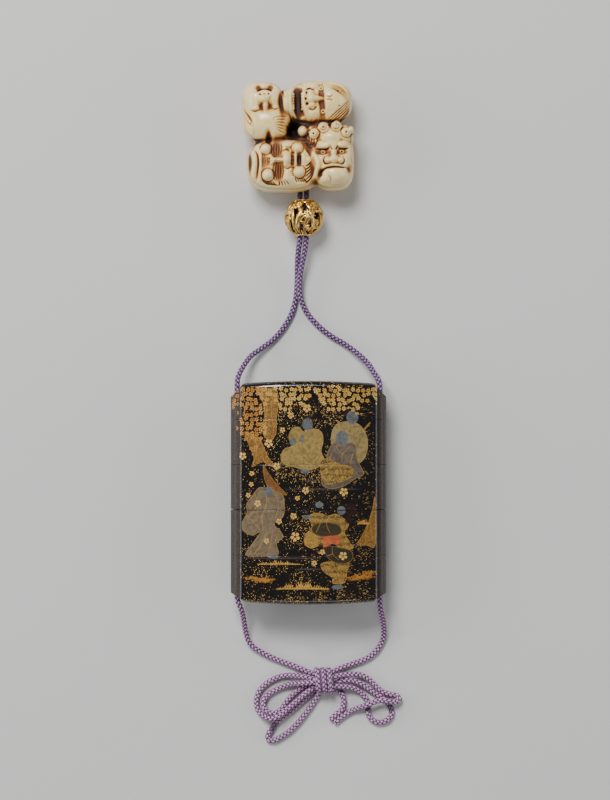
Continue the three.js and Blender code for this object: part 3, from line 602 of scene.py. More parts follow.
# The picture: a spring party under a cherry tree, as plain areas with generic figures. Each area is a
# smooth closed line, or an oval given by its middle and half-widths.
PICTURE = {
    "olive_robe": [
        [(-1.8, 24.4), (1.8, 25.6), (5.2, 24.2), (5.9, 20.5), (5.1, 16.6), (6.4, 12.9), (4, 10.2),
         (-0.5, 9), (-5, 10), (-9.9, 11.4), (-11.1, 14.4), (-9.6, 17.6), (-6.7, 18.8), (-8, 22.3),
         (-6.2, 25.9), (-3.6, 26.1)],
    ],
    "pale_robe": [
        [(11, 27.2), (14.6, 28.4), (18.6, 27.9), (21.2, 26.2), (23.2, 22.6), (23.6, 17.8), (22.1, 13.4),
         (19, 11.3), (15, 12.4), (11, 15.5), (9, 20), (9.3, 24.4)],
    ],
    "mauve_robe": [
        [(10.4, 20), (13.2, 18.6), (16.4, 20.2), (19, 18.4), (19.4, 13.6), (22, 7.6), (18.6, 5.6), (14, 2.6),
         (8.6, 1.6), (5.4, 3.4), (5, 8.5), (6.9, 13), (8, 17.4)],
    ],
    "grey_robe": [
        [(-19.6, 2.2), (-15.6, 1.6), (-10.4, -0.6), (-9.5, -4.6), (-10, -9.4), (-13.6, -12.2), (-11.2, -15),
         (-10, -17.6), (-12.6, -20.2), (-12, -24.4), (-18, -25.2), (-25, -24.9), (-22.6, -20.4),
         (-19.2, -15.6), (-22.4, -17), (-26, -15.2), (-26.4, -11.6), (-24.6, -8), (-24.8, -4.6),
         (-22, -0.6)],
    ],
    "gold_dress": [
        [(5, 12.6), (8.2, 13.6), (12, 11.6), (16.8, 10.4), (17.4, 6.6), (12.4, 4.2), (7.4, 3.4), (4.8, 7.4)],
        [(0.6, -8.6), (4.2, -7.9), (7.6, -9), (11.4, -8.4), (16, -12.2), (14.4, -15.6), (16.4, -19.4),
         (17.8, -22), (13.4, -22.8), (9.8, -20.2), (5, -20.6), (2.4, -21.6), (-1.4, -20.8), (-1.6, -17),
         (1.2, -13.6), (0.4, -11)],
        [(4.8, -28.2), (8.4, -27.2), (12.6, -27.4), (16.2, -27.6), (15.4, -31.6), (14.2, -35.8), (9.8, -36),
         (9.2, -33.6), (6, -31.4)],
    ],
    "dark_skirt": [
        [(2.2, -12.4), (7.4, -11.6), (12.2, -12.8), (13, -16), (8.8, -17.4), (3.6, -17), (1.2, -15)],
        [(5.8, -21.2), (11.6, -21.4), (17, -23), (17.4, -26.6), (13.2, -28.4), (8.2, -26.4)],
    ],
    "coral_sash": [[(5.6, -17.8), (9, -17), (12.4, -17.4), (12.2, -20.4), (9.4, -20.2), (6.2, -21.6)]],
    "skin": [
        (-0.4, 27.2, 2.1, 2.5), (13.3, 21.6, 2.6, 3.1), (17.4, 30, 2.4, 2.7), (-16, 0.6, 1.9, 1.9),
        (13, -7, 1.7, 1.8), (4.3, -4.7, 1.6, 1.2), (-0.4, -9.6, 2, 0.8), (-14, -25.3, 2.2, 0.8),
        (11.6, -37.4, 2.4, 0.9), (-6.2, 20.2, 1.3, 1.5), (-2.6, 21.4, 1.1, 1.1), (-1.4, 8.6, 1.8, 0.9),
    ],
    "hair": [(-0.2, 29.9, 2, 0.9), (16.7, -6.6, 2.5, 2.6), (15.6, 31.6, 1.2, 1.6), (15.8, -10.6, 1.4, 1.5)],
    "gold_wood": [
        [(-20.4, 41), (-16.6, 41.6), (-12.6, 41.2), (-12, 35), (-12.6, 29.6), (-12.8, 24), (-15, 20.4),
         (-17.6, 22.4), (-18.6, 26), (-17.6, 30.6), (-18.2, 35.6)],
        [(-25.6, 24), (-23, 23.6), (-19.6, 22), (-17.4, 17.6), (-15.4, 13.4), (-12.4, 10), (-15.6, 10.8),
         (-18.4, 12.2), (-22.6, 10.2), (-21.8, 13.8), (-23.4, 18)],
        [(26.6, -1.6), (25.2, -7), (23.6, -12), (20.8, -17.6), (19.2, -20.6), (23, -20.9), (26.7, -20.6)],
        [(21.4, 24.8), (24.1, 27.9), (24.6, 27.6), (21.9, 24.4)],
    ],
    "hood": [[(-18.1, 11), (-16.2, 8.4), (-13, 4), (-8.4, -0.8), (-12.4, 0.2), (-15.4, 1.8), (-17.4, 5)]],
    "gold_cloud": [
        (-18, -34.6, 5, 1.1), (-22.4, -34, 3.4, 0.9), (20.6, -33.6, 5.6, 1.1), (24.4, -31.8, 3, 1),
        (18, -34.4, 3.4, 0.7), (21.4, -11.6, 2.6, 0.7),
    ],
    "moon_disc": [(1.3, -19.1, 2.9, 2.9)],
    "ground": [
        (5.6, 1.5, 15, 0.42), (-11, -25.9, 15.6, 0.4), (0.6, -30.3, 5.8, 0.4), (20.4, -20.9, 6.2, 0.35),
        (2, 5, 4.4, 0.35), (-2.6, 8.6, 2.4, 0.3),
    ],
}
# Lines drawn in gold over the robes and the wood: hems, sleeves, folds and bark.
DRAWN_LINES = [
    [(-6.8, 24.6), (-4.6, 22), (-4.9, 19.2), (-7.2, 18.2)], [(-4.2, 19.6), (-1.6, 21), (0.4, 18.6)],
    [(1.8, 24.8), (2.6, 21), (1.2, 16.4), (2.4, 11)], [(4.9, 22), (4.1, 17.6), (5.4, 13.4)],
    [(-9.2, 13), (-5.2, 14.6), (-1.6, 13.2), (0.8, 10)], [(-6, 17.6), (-3, 16.2), (-0.8, 14.2)],
    [(12, 27), (12.6, 23.4), (11, 18)], [(15, 28), (17.6, 25.6), (20.8, 26)], [(22.6, 20), (21.4, 17.6)],
    [(20.8, 25.4), (19.6, 21.4), (20.6, 16.6), (19.8, 12.2)], [(14.2, 25), (16.4, 23.6), (18.8, 23.8)],
    [(10.6, 18.6), (13.4, 15.6), (16.2, 18.4)], [(13.4, 15.6), (13.2, 13)], [(9.2, 15.6), (8, 12.8)],
    [(17.6, 15.6), (16.8, 11), (19.6, 7)], [(6, 9), (10, 10.4), (14.8, 8.8)],
    [(5.6, 6.4), (10, 7.4), (15.6, 6)], [(-21.6, 0.4), (-20.4, -4.4), (-23.4, -9.6)],
    [(-17, 0.6), (-16.6, -4), (-18.6, -9.4), (-18, -14.6)], [(-13, -0.4), (-12, -5.2), (-13.2, -10)],
    [(-24.4, -9), (-21.2, -12.4), (-19.4, -15)], [(-16.6, -15.4), (-18.6, -20), (-21.6, -24.4)],
    [(-14.4, -15.6), (-15, -20.4), (-16.2, -24.6)], [(-12.4, -16.4), (-13.2, -19.2)],
    [(3.6, -8.6), (4.6, -12), (3, -15.6)], [(8.2, -9), (7.2, -12.6), (8.6, -16)],
    [(12.4, -9.6), (13, -13)], [(13.4, -18), (15.6, -20.4)], [(7.4, -28.4), (8, -31)],
    [(12.6, -28), (12, -33), (12.8, -35.6)], [(9.4, -21.6), (9.6, -24.2), (12, -26.6)],
    [(9.6, -24.2), (7, -25.2)], [(-18.6, 40), (-16.6, 34), (-17, 28), (-16, 23)],
    [(-14.2, 40), (-14.6, 33), (-14.2, 26)], [(-22.6, 22), (-19.4, 17.6), (-17.2, 12)],
    [(-20.4, 20.6), (-20.6, 15.6), (-22, 11.4)], [(25.6, -3), (24.8, -10), (25.4, -19)],
    [(24, -12), (22.4, -18)],
]
# Grass: the middle and half-length of a row, its foot's height and how tall its blades grow in the middle.
GRASS_ROWS = [(-11.8, 8.6, -28.5, 3.2), (-2.4, 10.6, -38.3, 6), (22, 2.6, -12.5, 3.4)]
BLADE_PITCH = 0.95
SINGLE_BLOSSOMS = [
    (-15.8, 19.7, 1.7), (-7, 30.8, 1.3), (-0.6, 33.6, 1.6), (-10.3, 25, 1.1), (-12.6, 10.7, 1.4),
    (-22.6, 7.7, 1), (-24, -1, 1), (-1.2, 1, 1.4), (-4.4, -2.1, 1), (14, 0.4, 1.7), (-5.9, -9.2, 1.3),
    (-5.3, -17.4, 1.9), (-11.7, -11.3, 1.2), (-20.2, -4.2, 1.4), (-16.7, -19.1, 1.1), (2.3, -27.9, 1.1),
    (5.5, -23.5, 1.1), (13.7, -25, 1.7), (-26.2, 14.6, 1.5), (-22.8, 3.4, 1),
]
BLOSSOM_FADE = 1.35
FAR = 9.0
# Where the gold dust lies thicker: middle, half-widths and how much.
DUST_PATCHES = [
    (4, 31, 11, 5, 0.45), (-11, 12, 7, 8, 0.4), (-4, -15, 8, 9, 0.42), (-3, 5.6, 12, 3.4, 0.35),
    (8, -1, 10, 3, 0.25), (-12, 30, 4, 8, 0.25), (22, -26, 7, 7, 0.2), (-14, -30, 12, 4, 0.2),
    (7, -24, 6, 4, 0.2),
]


def line_distance(x, y, corners):
    """Distance to the smooth open line through the corners, and how far along it the nearest place is."""
    line = rounded_route([(*corner, 0) for corner in corners], 0.6)[:, :2]
    nearest, share_along = np.full(x.shape, 99.0), np.zeros(x.shape)
    for i, (start, run) in enumerate(zip(line[:-1], np.diff(line, axis=0))):
        share = np.clip(((x - start[0]) * run[0] + (y - start[1]) * run[1]) / (run @ run), 0, 1)
        away = np.hypot(x - start[0] - run[0] * share, y - start[1] - run[1] * share)
        is_nearer = away < nearest
        nearest = np.where(is_nearer, away, nearest)
        share_along = np.where(is_nearer, (i + share) / (len(line) - 1), share_along)
    return nearest, share_along


def blades(x, y, row):
    """How far inside a row of grass: its low bank, or a pointed blade, half its pitch wide at the foot and
    leaning, of a height by a sine rule that falls to nothing at the row's ends."""
    middle, half, foot, tall = row
    along = np.clip(1 - np.abs((x - middle) / half), 0, 1)
    inside = np.minimum(y - foot, foot + 0.35 + 0.3 * along - y)
    for lean in (-0.35, 0.3):
        place = (x + lean * (y - foot)) / BLADE_PITCH + 10 * lean
        chance = (np.abs(np.sin(np.floor(place) * 12.9898 + middle)) * 43.7) % 1
        tuft = 0.6 + 0.4 * np.abs(np.sin(0.75 * x + 2 * middle))
        height = tall * tuft * (0.25 + 0.75 * chance) * along ** 0.7 + 0.01
        width = 0.42 * BLADE_PITCH * (1 - np.clip((y - foot) / height, 0, 2))
        blade = width - np.abs(place - np.floor(place) - 0.5) * BLADE_PITCH
        inside = np.maximum(inside, np.minimum(blade, y - foot))
    return np.minimum(inside, half - np.abs(x - middle))


def inside_distance(x, y, shape):
    """Signed distance in millimetres from an area's outline, above 0 inside. An oval's is the least
    half-width times what is left of 1. A line's is the least distance to the chords of the smooth curve
    through its corners, with the sign of the even-odd rule."""
    if isinstance(shape, tuple):
        cx, cy, rx, ry = shape
        return min(rx, ry) * (1 - np.hypot((x - cx) / rx, (y - cy) / ry))
    b = np.array(shape, float)
    a, c, d = np.roll(b, 1, 0), np.roll(b, -1, 0), np.roll(b, -2, 0)
    t = (np.arange(5) / 5)[:, None, None]
    line = 2 * b + (c - a) * t + (2 * a - 5 * b + 4 * c - d) * t ** 2 + (3 * b - 3 * c + d - a) * t ** 3
    line = 0.5 * line.transpose(1, 0, 2).reshape(-1, 2)
    nearest = np.full(x.shape, FAR)
    is_inside = np.zeros(x.shape, bool)
    for (x0, y0), (x1, y1) in zip(line, np.roll(line, -1, 0)):
        run_x, run_y = x1 - x0, y1 - y0
        share = np.clip(((x - x0) * run_x + (y - y0) * run_y) / (run_x ** 2 + run_y ** 2), 0, 1)
        nearest = np.minimum(nearest, np.hypot(x - x0 - run_x * share, y - y0 - run_y * share))
        crosses = (y0 > y) != (y1 > y)
        is_inside ^= crosses & (x < x0 + run_x * (y - y0) / (run_y if run_y else 1))
    return np.where(is_inside, nearest, -nearest)


def picture_fields(points, zones):
    """What the lacquer's shader reads at each point: the signed distance of every area, how thick the
    blossoming canopy and the gold dust lie, and a place within the nearest single blossom."""
    px, py = points[:, 0], points[:, 1]
    is_front = (points[:, 2] > CASE_HALF_DEPTH) & (zones == OUTSIDE) & (np.abs(px) < PANEL_HALF + 0.01)
    x, y = px[is_front], py[is_front]

    def over_front(values, elsewhere):
        field = np.full(len(points), elsewhere)
        field[is_front] = values
        return field

    fields = {
        name: over_front(np.max([inside_distance(x, y, shape) for shape in shapes], 0), -FAR)
        for name, shapes in PICTURE.items()
    }
    fields["grass"] = over_front(np.max([blades(x, y, row) for row in GRASS_ROWS], 0), -FAR)
    fields["drawn"] = over_front(np.min([line_distance(x, y, line)[0] for line in DRAWN_LINES], 0), FAR)
    facing = np.where(is_front, 1.0, 0.0)
    waves = 2.2 * np.sin(px * 0.31 + 0.8) + 1.3 * np.sin(px * 0.83)
    canopy = np.clip((py - 33.5 - waves) / 3.0, 0, 1)
    left = np.clip(1.3 - np.hypot((px + 22.6) / 5.2, (py - 29) / 10.5), 0, 0.8) * 1.6
    right = np.clip(1.2 - np.hypot((px - 15) / 11.5, (py - 39) / 7.5), 0, 0.8) * 1.4
    canopy = np.clip(np.maximum(np.maximum(canopy, left), right), 0, 1)
    off_middle = np.abs(points[:, 2] - CASE_HALF_DEPTH)
    lies_flat = np.where(np.abs(px) > PANEL_HALF + 0.05, off_middle - 1.5, off_middle - PANEL_EDGE + 1)
    lies_flat = np.where(np.abs(px) > PANEL_HALF - 0.1, np.clip(lies_flat, 0, 1), 1)
    canopy *= np.clip((42.6 - py) / 0.6, 0, 1) * np.clip((28.5 - px) / 1.5, 0, 1) * lies_flat
    fields["canopy"] = np.where(zones == OUTSIDE, canopy, 0)
    low_bank = np.clip((-37.5 - py) / 3, 0, 1)
    dust = 0.17 + 0.13 * np.sin(px * 0.21 + py * 0.13) * np.sin(py * 0.19 - px * 0.11 + 1) + 0.5 * low_bank
    for cx, cy, rx, ry, much in DUST_PATCHES:
        dust += much * np.exp(-((px - cx) / rx) ** 2 - ((py - cy) / ry) ** 2)
    dust *= np.clip((27 - px) / 4, 0.35, 1)
    fields["dust"] = np.clip(dust, 0.05, 0.9) * (0.55 + 0.45 * facing)
    fields["zone"] = zones
    spots = np.array(SINGLE_BLOSSOMS)
    away = np.hypot(x[:, None] - spots[:, 0], y[:, None] - spots[:, 1]) / spots[:, 2]
    cx, cy, size = spots[away.argmin(1)].T
    blossom = np.zeros((len(points), 3))
    blossom[is_front] = np.stack([(x - cx) / size, (y - cy) / size, away.min(1) < BLOSSOM_FADE], 1)
    return fields, blossom


def store(piece, name, values):
    """Keeps one value for each of a piece's points, under a name that its material reads."""
    layer = piece.data.attributes.new(name, "FLOAT", "POINT")
    layer.data.foreach_set("value", values.astype(np.float32))


def stored(tree, name, output="Fac"):
    """What the piece's points keep under a name."""
    return wired(tree, "Attribute", {}, output=output, attribute_name=name)


def shade_of(tree, colour, part):
    """One part of a colour, "Red" or "Green"."""
    return wired(tree, "SeparateColor", {0: colour}, output=part)


lacquer, tree, shader = new_material("painted_lacquer", Coat_Roughness=0.09)


def area(name, low=-0.05, high=0.05):
    """How far a point is inside one of the picture's areas, 0 to 1 over its soft edge."""
    distance = stored(tree, name)
    return ramped(tree, distance, low, high)


def petals(local_x, local_y, turn, size):
    """A five-petalled blossom about its own middle, 0 or 1: out to a notched radius, 0.55 plus 0.45 of the
    root of |cos 2.5 angle|, with dark gaps between the petals and a dark eye."""
    squares = reckoned(tree, "MULTIPLY_ADD", local_x, local_x, product(tree, local_y, local_y))
    radius = reckoned(tree, "SQRT", squares)
    angle = reckoned(tree, "ADD", reckoned(tree, "ARCTAN2", local_y, local_x), turn)
    wave = reckoned(tree, "ABSOLUTE", reckoned(tree, "COSINE", product(tree, angle, 2.5)))
    reach = reckoned(tree, "MULTIPLY_ADD", reckoned(tree, "SQRT", wave), 0.45 * size, 0.55 * size)
    body = ramped(tree, less(tree, reach, radius), -0.02, 0.03)
    gap = ramped(tree, wave, 0.3, 0.48)
    eye = ramped(tree, radius, 0.17 * size, 0.27 * size)
    return product(tree, product(tree, body, gap), eye)


place = piece_place(tree)
zone = stored(tree, "zone")
is_outside = ramped(tree, zone, 0.55, 0.45)

# The canopy: one blossom to a cell, where the canopy lies thick enough for that cell's own chance.
BLOSSOM_CELL = 520.0
cell = {"Vector": place, "Scale": BLOSSOM_CELL, "Randomness": 0.6}
cell_middle = wired(tree, "TexVoronoi", cell, output=2, voronoi_dimensions="2D")
cell_chance = wired(tree, "TexVoronoi", cell, output=1, voronoi_dimensions="2D")
chance_red = shade_of(tree, cell_chance, "Red")
chance_green = shade_of(tree, cell_chance, "Green")
local = wired(tree, "VectorMath", {0: place, 1: cell_middle}, operation="SUBTRACT")
local = wired(tree, "VectorMath", {0: local, "Scale": BLOSSOM_CELL}, operation="SCALE")
local_x = axis_of(tree, local, "X")
local_y = axis_of(tree, local, "Y")
bloom = petals(local_x, local_y, product(tree, chance_green, 6.28), 0.46)
canopy = stored(tree, "canopy")
is_there = ramped(tree, less(tree, canopy, chance_red), 0.01, 0.04)
bloom = product(tree, bloom, is_there)

# Single blossoms, each about its own middle.
spot = stored(tree, "blossom", "Vector")
spot_x = axis_of(tree, spot, "X")
spot_y = axis_of(tree, spot, "Y")
spot_near = axis_of(tree, spot, "Z")
single = petals(spot_x, spot_y, 0.4, 1.0)
single = product(tree, single, ramped(tree, spot_near, 0.4, 0.6))

# Gold dust: a small flake to a cell, by chance.
DUST_CELL = 2500.0
grain = {"Vector": place, "Scale": DUST_CELL, "Randomness": 1.0}
grain_away = wired(tree, "TexVoronoi", grain, output=0)
grain_chance = wired(tree, "TexVoronoi", grain, output=1)
grain_red = shade_of(tree, grain_chance, "Red")
grain_green = shade_of(tree, grain_chance, "Green")
dust_here = stored(tree, "dust")
clumps = noise(tree, place, 190.0, 2.0)
dust_here = product(tree, dust_here, ramped(tree, clumps, 0.35, 0.65, 0.15, 1.6))
flake_size = reckoned(tree, "MULTIPLY_ADD", grain_green, 0.22, 0.2)
flake = ramped(tree, less(tree, flake_size, grain_away), -0.03, 0.03)
flake = product(tree, flake, ramped(tree, less(tree, dust_here, grain_red), -0.02, 0.02))

GOLD, PALE_GOLD, ORANGE_GOLD = tint(206, 152, 62), tint(228, 188, 104), tint(172, 98, 32)
powder = noise(tree, place, 3600.0, 2.0)
brushed = wired(tree, "TexNoise", {"Vector": place, "Scale": 420.0, "Detail": 4.0, "Distortion": 1.5})
drawn_line = ramped(tree, stored(tree, "drawn"), 0.17, 0.09)
rough_gold = mixed(tree, ramped(tree, powder, 0.38, 0.62), tint(190, 138, 62), PALE_GOLD)

colour = mixed(tree, ramped(tree, brushed, 0.3, 0.8, 0.0, 0.6), tint(15, 11, 10), tint(30, 22, 18))
gilded = product(tree, flake, 0.9)
flake_gold = mixed(tree, ramped(tree, grain_green, 0.0, 0.6), ORANGE_GOLD, PALE_GOLD)
colour = mixed(tree, flake, colour, flake_gold)
layers = [
    ("ground", tint(70, 64, 58), 0.7, False),
    ("gold_wood", tint(122, 80, 30), 0.92, True),
    ("gold_cloud", tint(176, 112, 38), 0.95, True),
    ("grass", tint(206, 158, 74), 0.95, True),
    ("olive_robe", tint(146, 128, 76), 0.97, True),
    ("pale_robe", tint(146, 132, 90), 0.97, True),
    ("mauve_robe", tint(100, 88, 76), 0.96, False),
    ("grey_robe", tint(120, 104, 80), 0.95, False),
    ("hood", tint(108, 62, 30), 0.95, True),
    ("gold_dress", tint(138, 108, 52), 0.96, True),
    ("dark_skirt", tint(50, 44, 34), 0.95, False),
    ("coral_sash", tint(186, 92, 56), 0.97, False),
    ("moon_disc", tint(158, 122, 54), 0.96, True),
    ("hair", tint(44, 20, 22), 0.9, False),
    ("skin", tint(98, 102, 102), 0.96, False),
]
lengthways = axis_of(tree, place, "Y")
folds = reckoned(tree, "MULTIPLY_ADD", brushed, 9.0, product(tree, lengthways, 2300.0))
folds = ramped(tree, reckoned(tree, "SINE", folds), 0.3, 0.75)
for name, paint, cover, is_gold in layers:
    here = area(name)
    if name == "gold_cloud":
        here = ramped(tree, less(tree, area(name, -0.35, 0.7), grain_red), -0.05, 0.05)
    shade = mixed(tree, ramped(tree, powder, 0.35, 0.65, 0.0, 0.3), paint, GOLD if is_gold else paint)
    shade = mixed(tree, ramped(tree, brushed, 0.35, 0.7, 0.0, 0.45), shade, tint(40, 31, 20))
    if name.endswith(("robe", "dress", "skirt", "wood", "hood")):
        shade = mixed(tree, product(tree, drawn_line, 0.42), shade, GOLD)
        rim = less(tree, area(name, 0.0, 0.1), area(name, 0.2, 0.3))
        shade = mixed(tree, product(tree, rim, 0.3), shade, GOLD)
    if name == "gold_dress":
        shade = mixed(tree, product(tree, folds, 0.62), shade, tint(40, 30, 16))
    if name in ("gold_dress", "moon_disc", "gold_wood"):
        dotted = product(tree, ramped(tree, grain_away, 0.35, 0.2), 0.75)
        shade = mixed(tree, dotted, shade, PALE_GOLD)
    colour = mixed(tree, product(tree, here, cover), colour, shade)
    gilded = wired(tree, "Mix", {0: here, 2: gilded, 3: 0.75 if is_gold else 0.15}, data_type="FLOAT")
petal_gold = mixed(tree, chance_green, GOLD, PALE_GOLD)
sideways = axis_of(tree, place, "X")
petal_gold = mixed(tree, ramped(tree, sideways, -0.012, -0.022, 0.0, 0.6), petal_gold, ORANGE_GOLD)
colour = mixed(tree, bloom, colour, petal_gold)
colour = mixed(tree, single, colour, mixed(tree, ramped(tree, powder, 0.35, 0.6), GOLD, PALE_GOLD))
any_bloom = reckoned(tree, "MAXIMUM", bloom, single)
gilded = reckoned(tree, "MAXIMUM", gilded, product(tree, any_bloom, 0.85))
off_middle = reckoned(tree, "ABSOLUTE", sideways)
is_rib = ramped(tree, off_middle, (PANEL_HALF - 0.02) * MM, (PANEL_HALF + 0.25) * MM)
is_rib = product(tree, is_rib, is_outside)
worn = mixed(tree, ramped(tree, powder, 0.4, 0.66), tint(34, 27, 25), tint(82, 68, 58))
is_bare = less(tree, 0.85, product(tree, bloom, 0.85))
colour = mixed(tree, product(tree, is_rib, is_bare), colour, worn)
sprinkled = product(tree, ramped(tree, grain_away, 0.45, 0.3), 0.7)
nashiji = mixed(tree, sprinkled, tint(92, 44, 18), GOLD)
is_collar = ramped(tree, zone, 1.4, 1.6)
inner = mixed(tree, is_collar, nashiji, rough_gold)
colour = mixed(tree, is_outside, inner, colour)
led_by(shader, "Base Color", colour)
gilded = reckoned(tree, "MAXIMUM", product(tree, gilded, is_outside), is_collar)
led_by(shader, "Metallic", product(tree, gilded, 0.35))
scuffs = noise(tree, place, 700.0, 5.0)
scuffed = ramped(tree, scuffs, 0.4, 0.75, 0.14, 0.26)
roughness = reckoned(tree, "ADD", scuffed, product(tree, gilded, 0.22))
roughness = wired(tree, "Mix", {0: is_rib, 2: roughness, 3: 0.52}, data_type="FLOAT")
led_by(shader, "Roughness", roughness)
coat = wired(tree, "Mix", {0: is_rib, 2: 0.5, 3: 0.08}, data_type="FLOAT")
led_by(shader, "Coat Weight", coat)
ripple = noise(tree, place, 60.0, 2.0)
fine_relief(shader, ripple, 0.1, 0.0002)

SHARP_EDGE = np.radians(38)
for index in range(len(JOINTS) + 1):
    node = "lid" if index == 0 else f"box_{index}"
    points, quads, triangles, zones = closed_shell(index)
    part = new_piece("lacquer_" + node, points, quads, triangles)
    part.data.set_sharp_from_angle(angle=SHARP_EDGE)
    fields, blossom = picture_fields(points, zones)
    for name, field in fields.items():
        store(part, name, field)
    spots = part.data.attributes.new("blossom", "FLOAT_VECTOR", "POINT")
    spots.data.foreach_set("vector", blossom.ravel().astype(np.float32))
    part.data.materials.append(lacquer)
    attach(part, "root")
    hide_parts(node)

# ---------- the bead ----------
# The ojime, a gilt metal ball that slides on both strands: blades of grass, leaves and open flowers pierced
# right through to its hollow middle, between two plain rims that the cord passes.
BEAD = {"x": -1.8, "y": 110.3, "z": 8.0, "radius": 8.0}
BEAD_WALL = 1.15
RIM_RADIUS = 3.35
RIM_THICK = 0.6
RIM_AWAY = 7.3
PETALS = 12
# The open flowers: turns east and north in degrees, and radius.
FLOWERS = [
    (17, 6, 3.1), (-52, 20, 2.5), (84, -8, 2.9), (-100, -18, 2.6), (142, 14, 3), (-150, 8, 2.7),
    (-20, 44, 1.9), (50, 42, 1.9),
]
rng = np.random.default_rng(11)


def on_ball(east_turn, north_turn):
    """Directions from the ball's middle, the cord's way being Y: east and north turns in radians, with the
    directions due east and due north there."""
    cos_n, sin_n, cos_e, sin_e = np.cos(north_turn), np.sin(north_turn), np.cos(east_turn), np.sin(east_turn)
    out = np.stack([cos_n * sin_e, sin_n, cos_n * cos_e], -1)
    east = np.stack([cos_e, np.zeros_like(cos_e), -sin_e], -1)
    north = np.stack([-sin_n * sin_e, cos_n, -sin_n * cos_e], -1)
    return out, east, north


def leaf_forms(roots, heading, length, half_width, bend, proud, steps, sides):
    """Pointed leaves laid over the ball. A leaf's midline runs from its root at a heading that turns by
    bend, as great-circle distances. Its width is the sine of the way along to the power 0.6. Across it the
    section is an oval from the ball's inner wall out to its own height, with the top pinched to a midrib."""
    out, east, north = (a[:, None, :] for a in on_ball(*np.radians(np.array(roots, float)).T))
    t = np.linspace(0, 1, steps)[None, :]
    course = np.radians(heading)[:, None] + np.radians(bend)[:, None] * t
    run = np.array(length, float)[:, None] * t
    turn = (run / BEAD["radius"])[..., None]
    way = east * np.sin(course)[..., None] + north * np.cos(course)[..., None]
    middle = out * np.cos(turn) + way * np.sin(turn)
    tangent = np.gradient(middle, axis=1)
    side = np.cross(middle, tangent)
    side /= np.linalg.norm(side, axis=-1, keepdims=True)
    around = np.arange(sides) * 2 * np.pi / sides
    width = np.array(half_width, float)[:, None] * (0.06 + np.sin(np.pi * np.clip(t, 0.04, 0.97)) ** 0.6)
    across = (width / BEAD["radius"])[..., None, None] * np.cos(around)[None, None, :, None]
    direction = middle[:, :, None] + side[:, :, None] * across
    direction /= np.linalg.norm(direction, axis=-1, keepdims=True)
    rib = np.sin(around) * (0.5 + 0.5 * np.abs(np.sin(around)))
    lift = np.array(proud, float)[:, None, None] * np.sin(np.pi * t * 0.9 + 0.2)[..., None]
    radius = BEAD["radius"] - BEAD_WALL / 2 + BEAD_WALL / 2 * rib[None, None, :] + lift - 0.35
    points = (direction * radius[..., None]).reshape(len(out), -1, 3)
    ends = np.stack([points[:, :sides].mean(1), points[:, -sides:].mean(1)], 1)
    points = np.concatenate([points, ends], 1)
    quads, triangles = tube_faces(steps, sides)
    quads, triangles = turned_outwards(points[0], quads, triangles)
    shift = (np.arange(len(points)) * points.shape[1])[:, None, None]
    return points.reshape(-1, 3), (quads + shift).reshape(-1, 4), (triangles + shift).reshape(-1, 3)


def rim_form(y):
    """A plain ring round the cord's way, a torus."""
    turn, round_it = np.meshgrid(np.arange(40) * np.pi / 20, np.arange(10) * np.pi / 5, indexing="ij")
    r = RIM_RADIUS + RIM_THICK * np.cos(round_it)
    points = np.stack([r * np.sin(turn), y + RIM_THICK * np.sin(round_it), r * np.cos(turn)], -1)
    points = points.reshape(-1, 3)
    here = np.arange(400).reshape(40, 10)
    quads = np.stack([here, np.roll(here, -1, 0), np.roll(here, (-1, -1), (0, 1)), np.roll(here, -1, 1)], -1)
    quads, triangles = turned_outwards(points, quads.reshape(-1, 4), np.zeros((0, 3), int))
    return points, quads, triangles


def flower_form(east_turn, north_turn, radius, petals_count):
    """An open flower: petals out from its middle, and a button that stands over them."""
    headings = np.arange(petals_count) * 360.0 / petals_count + 8
    same = np.ones(petals_count)
    roots = [(east_turn, north_turn)] * petals_count
    width = radius * np.pi / petals_count * 0.62
    outer = leaf_forms(roots, headings, radius * same, width * same, 0 * same, 0.35 * same, 7, 6)
    short = leaf_forms(
        roots, headings + 180.0 / petals_count, 0.62 * radius * same, 0.8 * width * same, 0 * same,
        0.62 * same, 6, 6)
    straight = np.zeros(1)
    button_root = [(east_turn, north_turn - 7 * radius * 0.35)]
    button = leaf_forms(
        button_root, straight, [0.34 * radius * 1.4], [0.3 * radius], straight, [0.8], 9, 10)
    return [outer, short, button]


grass_east = np.arange(13) * 360 / 13 + 6
grass = leaf_forms(
    [(e, -64) for e in grass_east], np.tile([-14.0, 12, 26], 5)[:13], 11.5 + 3 * rng.random(13),
    0.95 + 0.3 * rng.random(13), np.tile([30.0, -34, 22, -18], 4)[:13], 0.15 + 0.3 * rng.random(13), 16, 8)
hanging_east = np.arange(11) * 360 / 11 + 20
hanging = leaf_forms(
    [(e, 64) for e in hanging_east], 180 + np.tile([22.0, -20], 6)[:11], 7 + 3.5 * rng.random(11),
    0.95 + 0.25 * rng.random(11), np.tile([-40.0, 42], 6)[:11], 0.1 + 0.3 * rng.random(11), 14, 8)
stem_count = 12
stems = leaf_forms(
    [(e, 8 * np.sin(e)) for e in np.arange(stem_count) * 30 + 4], np.tile([62.0, -58, 110], 4),
    8 + 3 * rng.random(stem_count), 0.42 * np.ones(stem_count), np.tile([70.0, -64], 6),
    0.2 + 0.2 * rng.random(stem_count), 16, 6)
leaf_count = 64
leaf_roots = np.stack([rng.random(leaf_count) * 360, 60 * (2 * rng.random(leaf_count) - 1)], 1)
leaves = leaf_forms(
    leaf_roots, rng.random(leaf_count) * 360, 3.2 + 1.8 * rng.random(leaf_count),
    0.7 + 0.3 * rng.random(leaf_count), 40 * rng.random(leaf_count) - 20,
    0.1 + 0.35 * rng.random(leaf_count), 9, 8)
forms = [grass, hanging, stems, leaves, rim_form(RIM_AWAY), rim_form(-RIM_AWAY)]
for east_turn, north_turn, radius in FLOWERS:
    forms += flower_form(east_turn, north_turn, radius, PETALS)

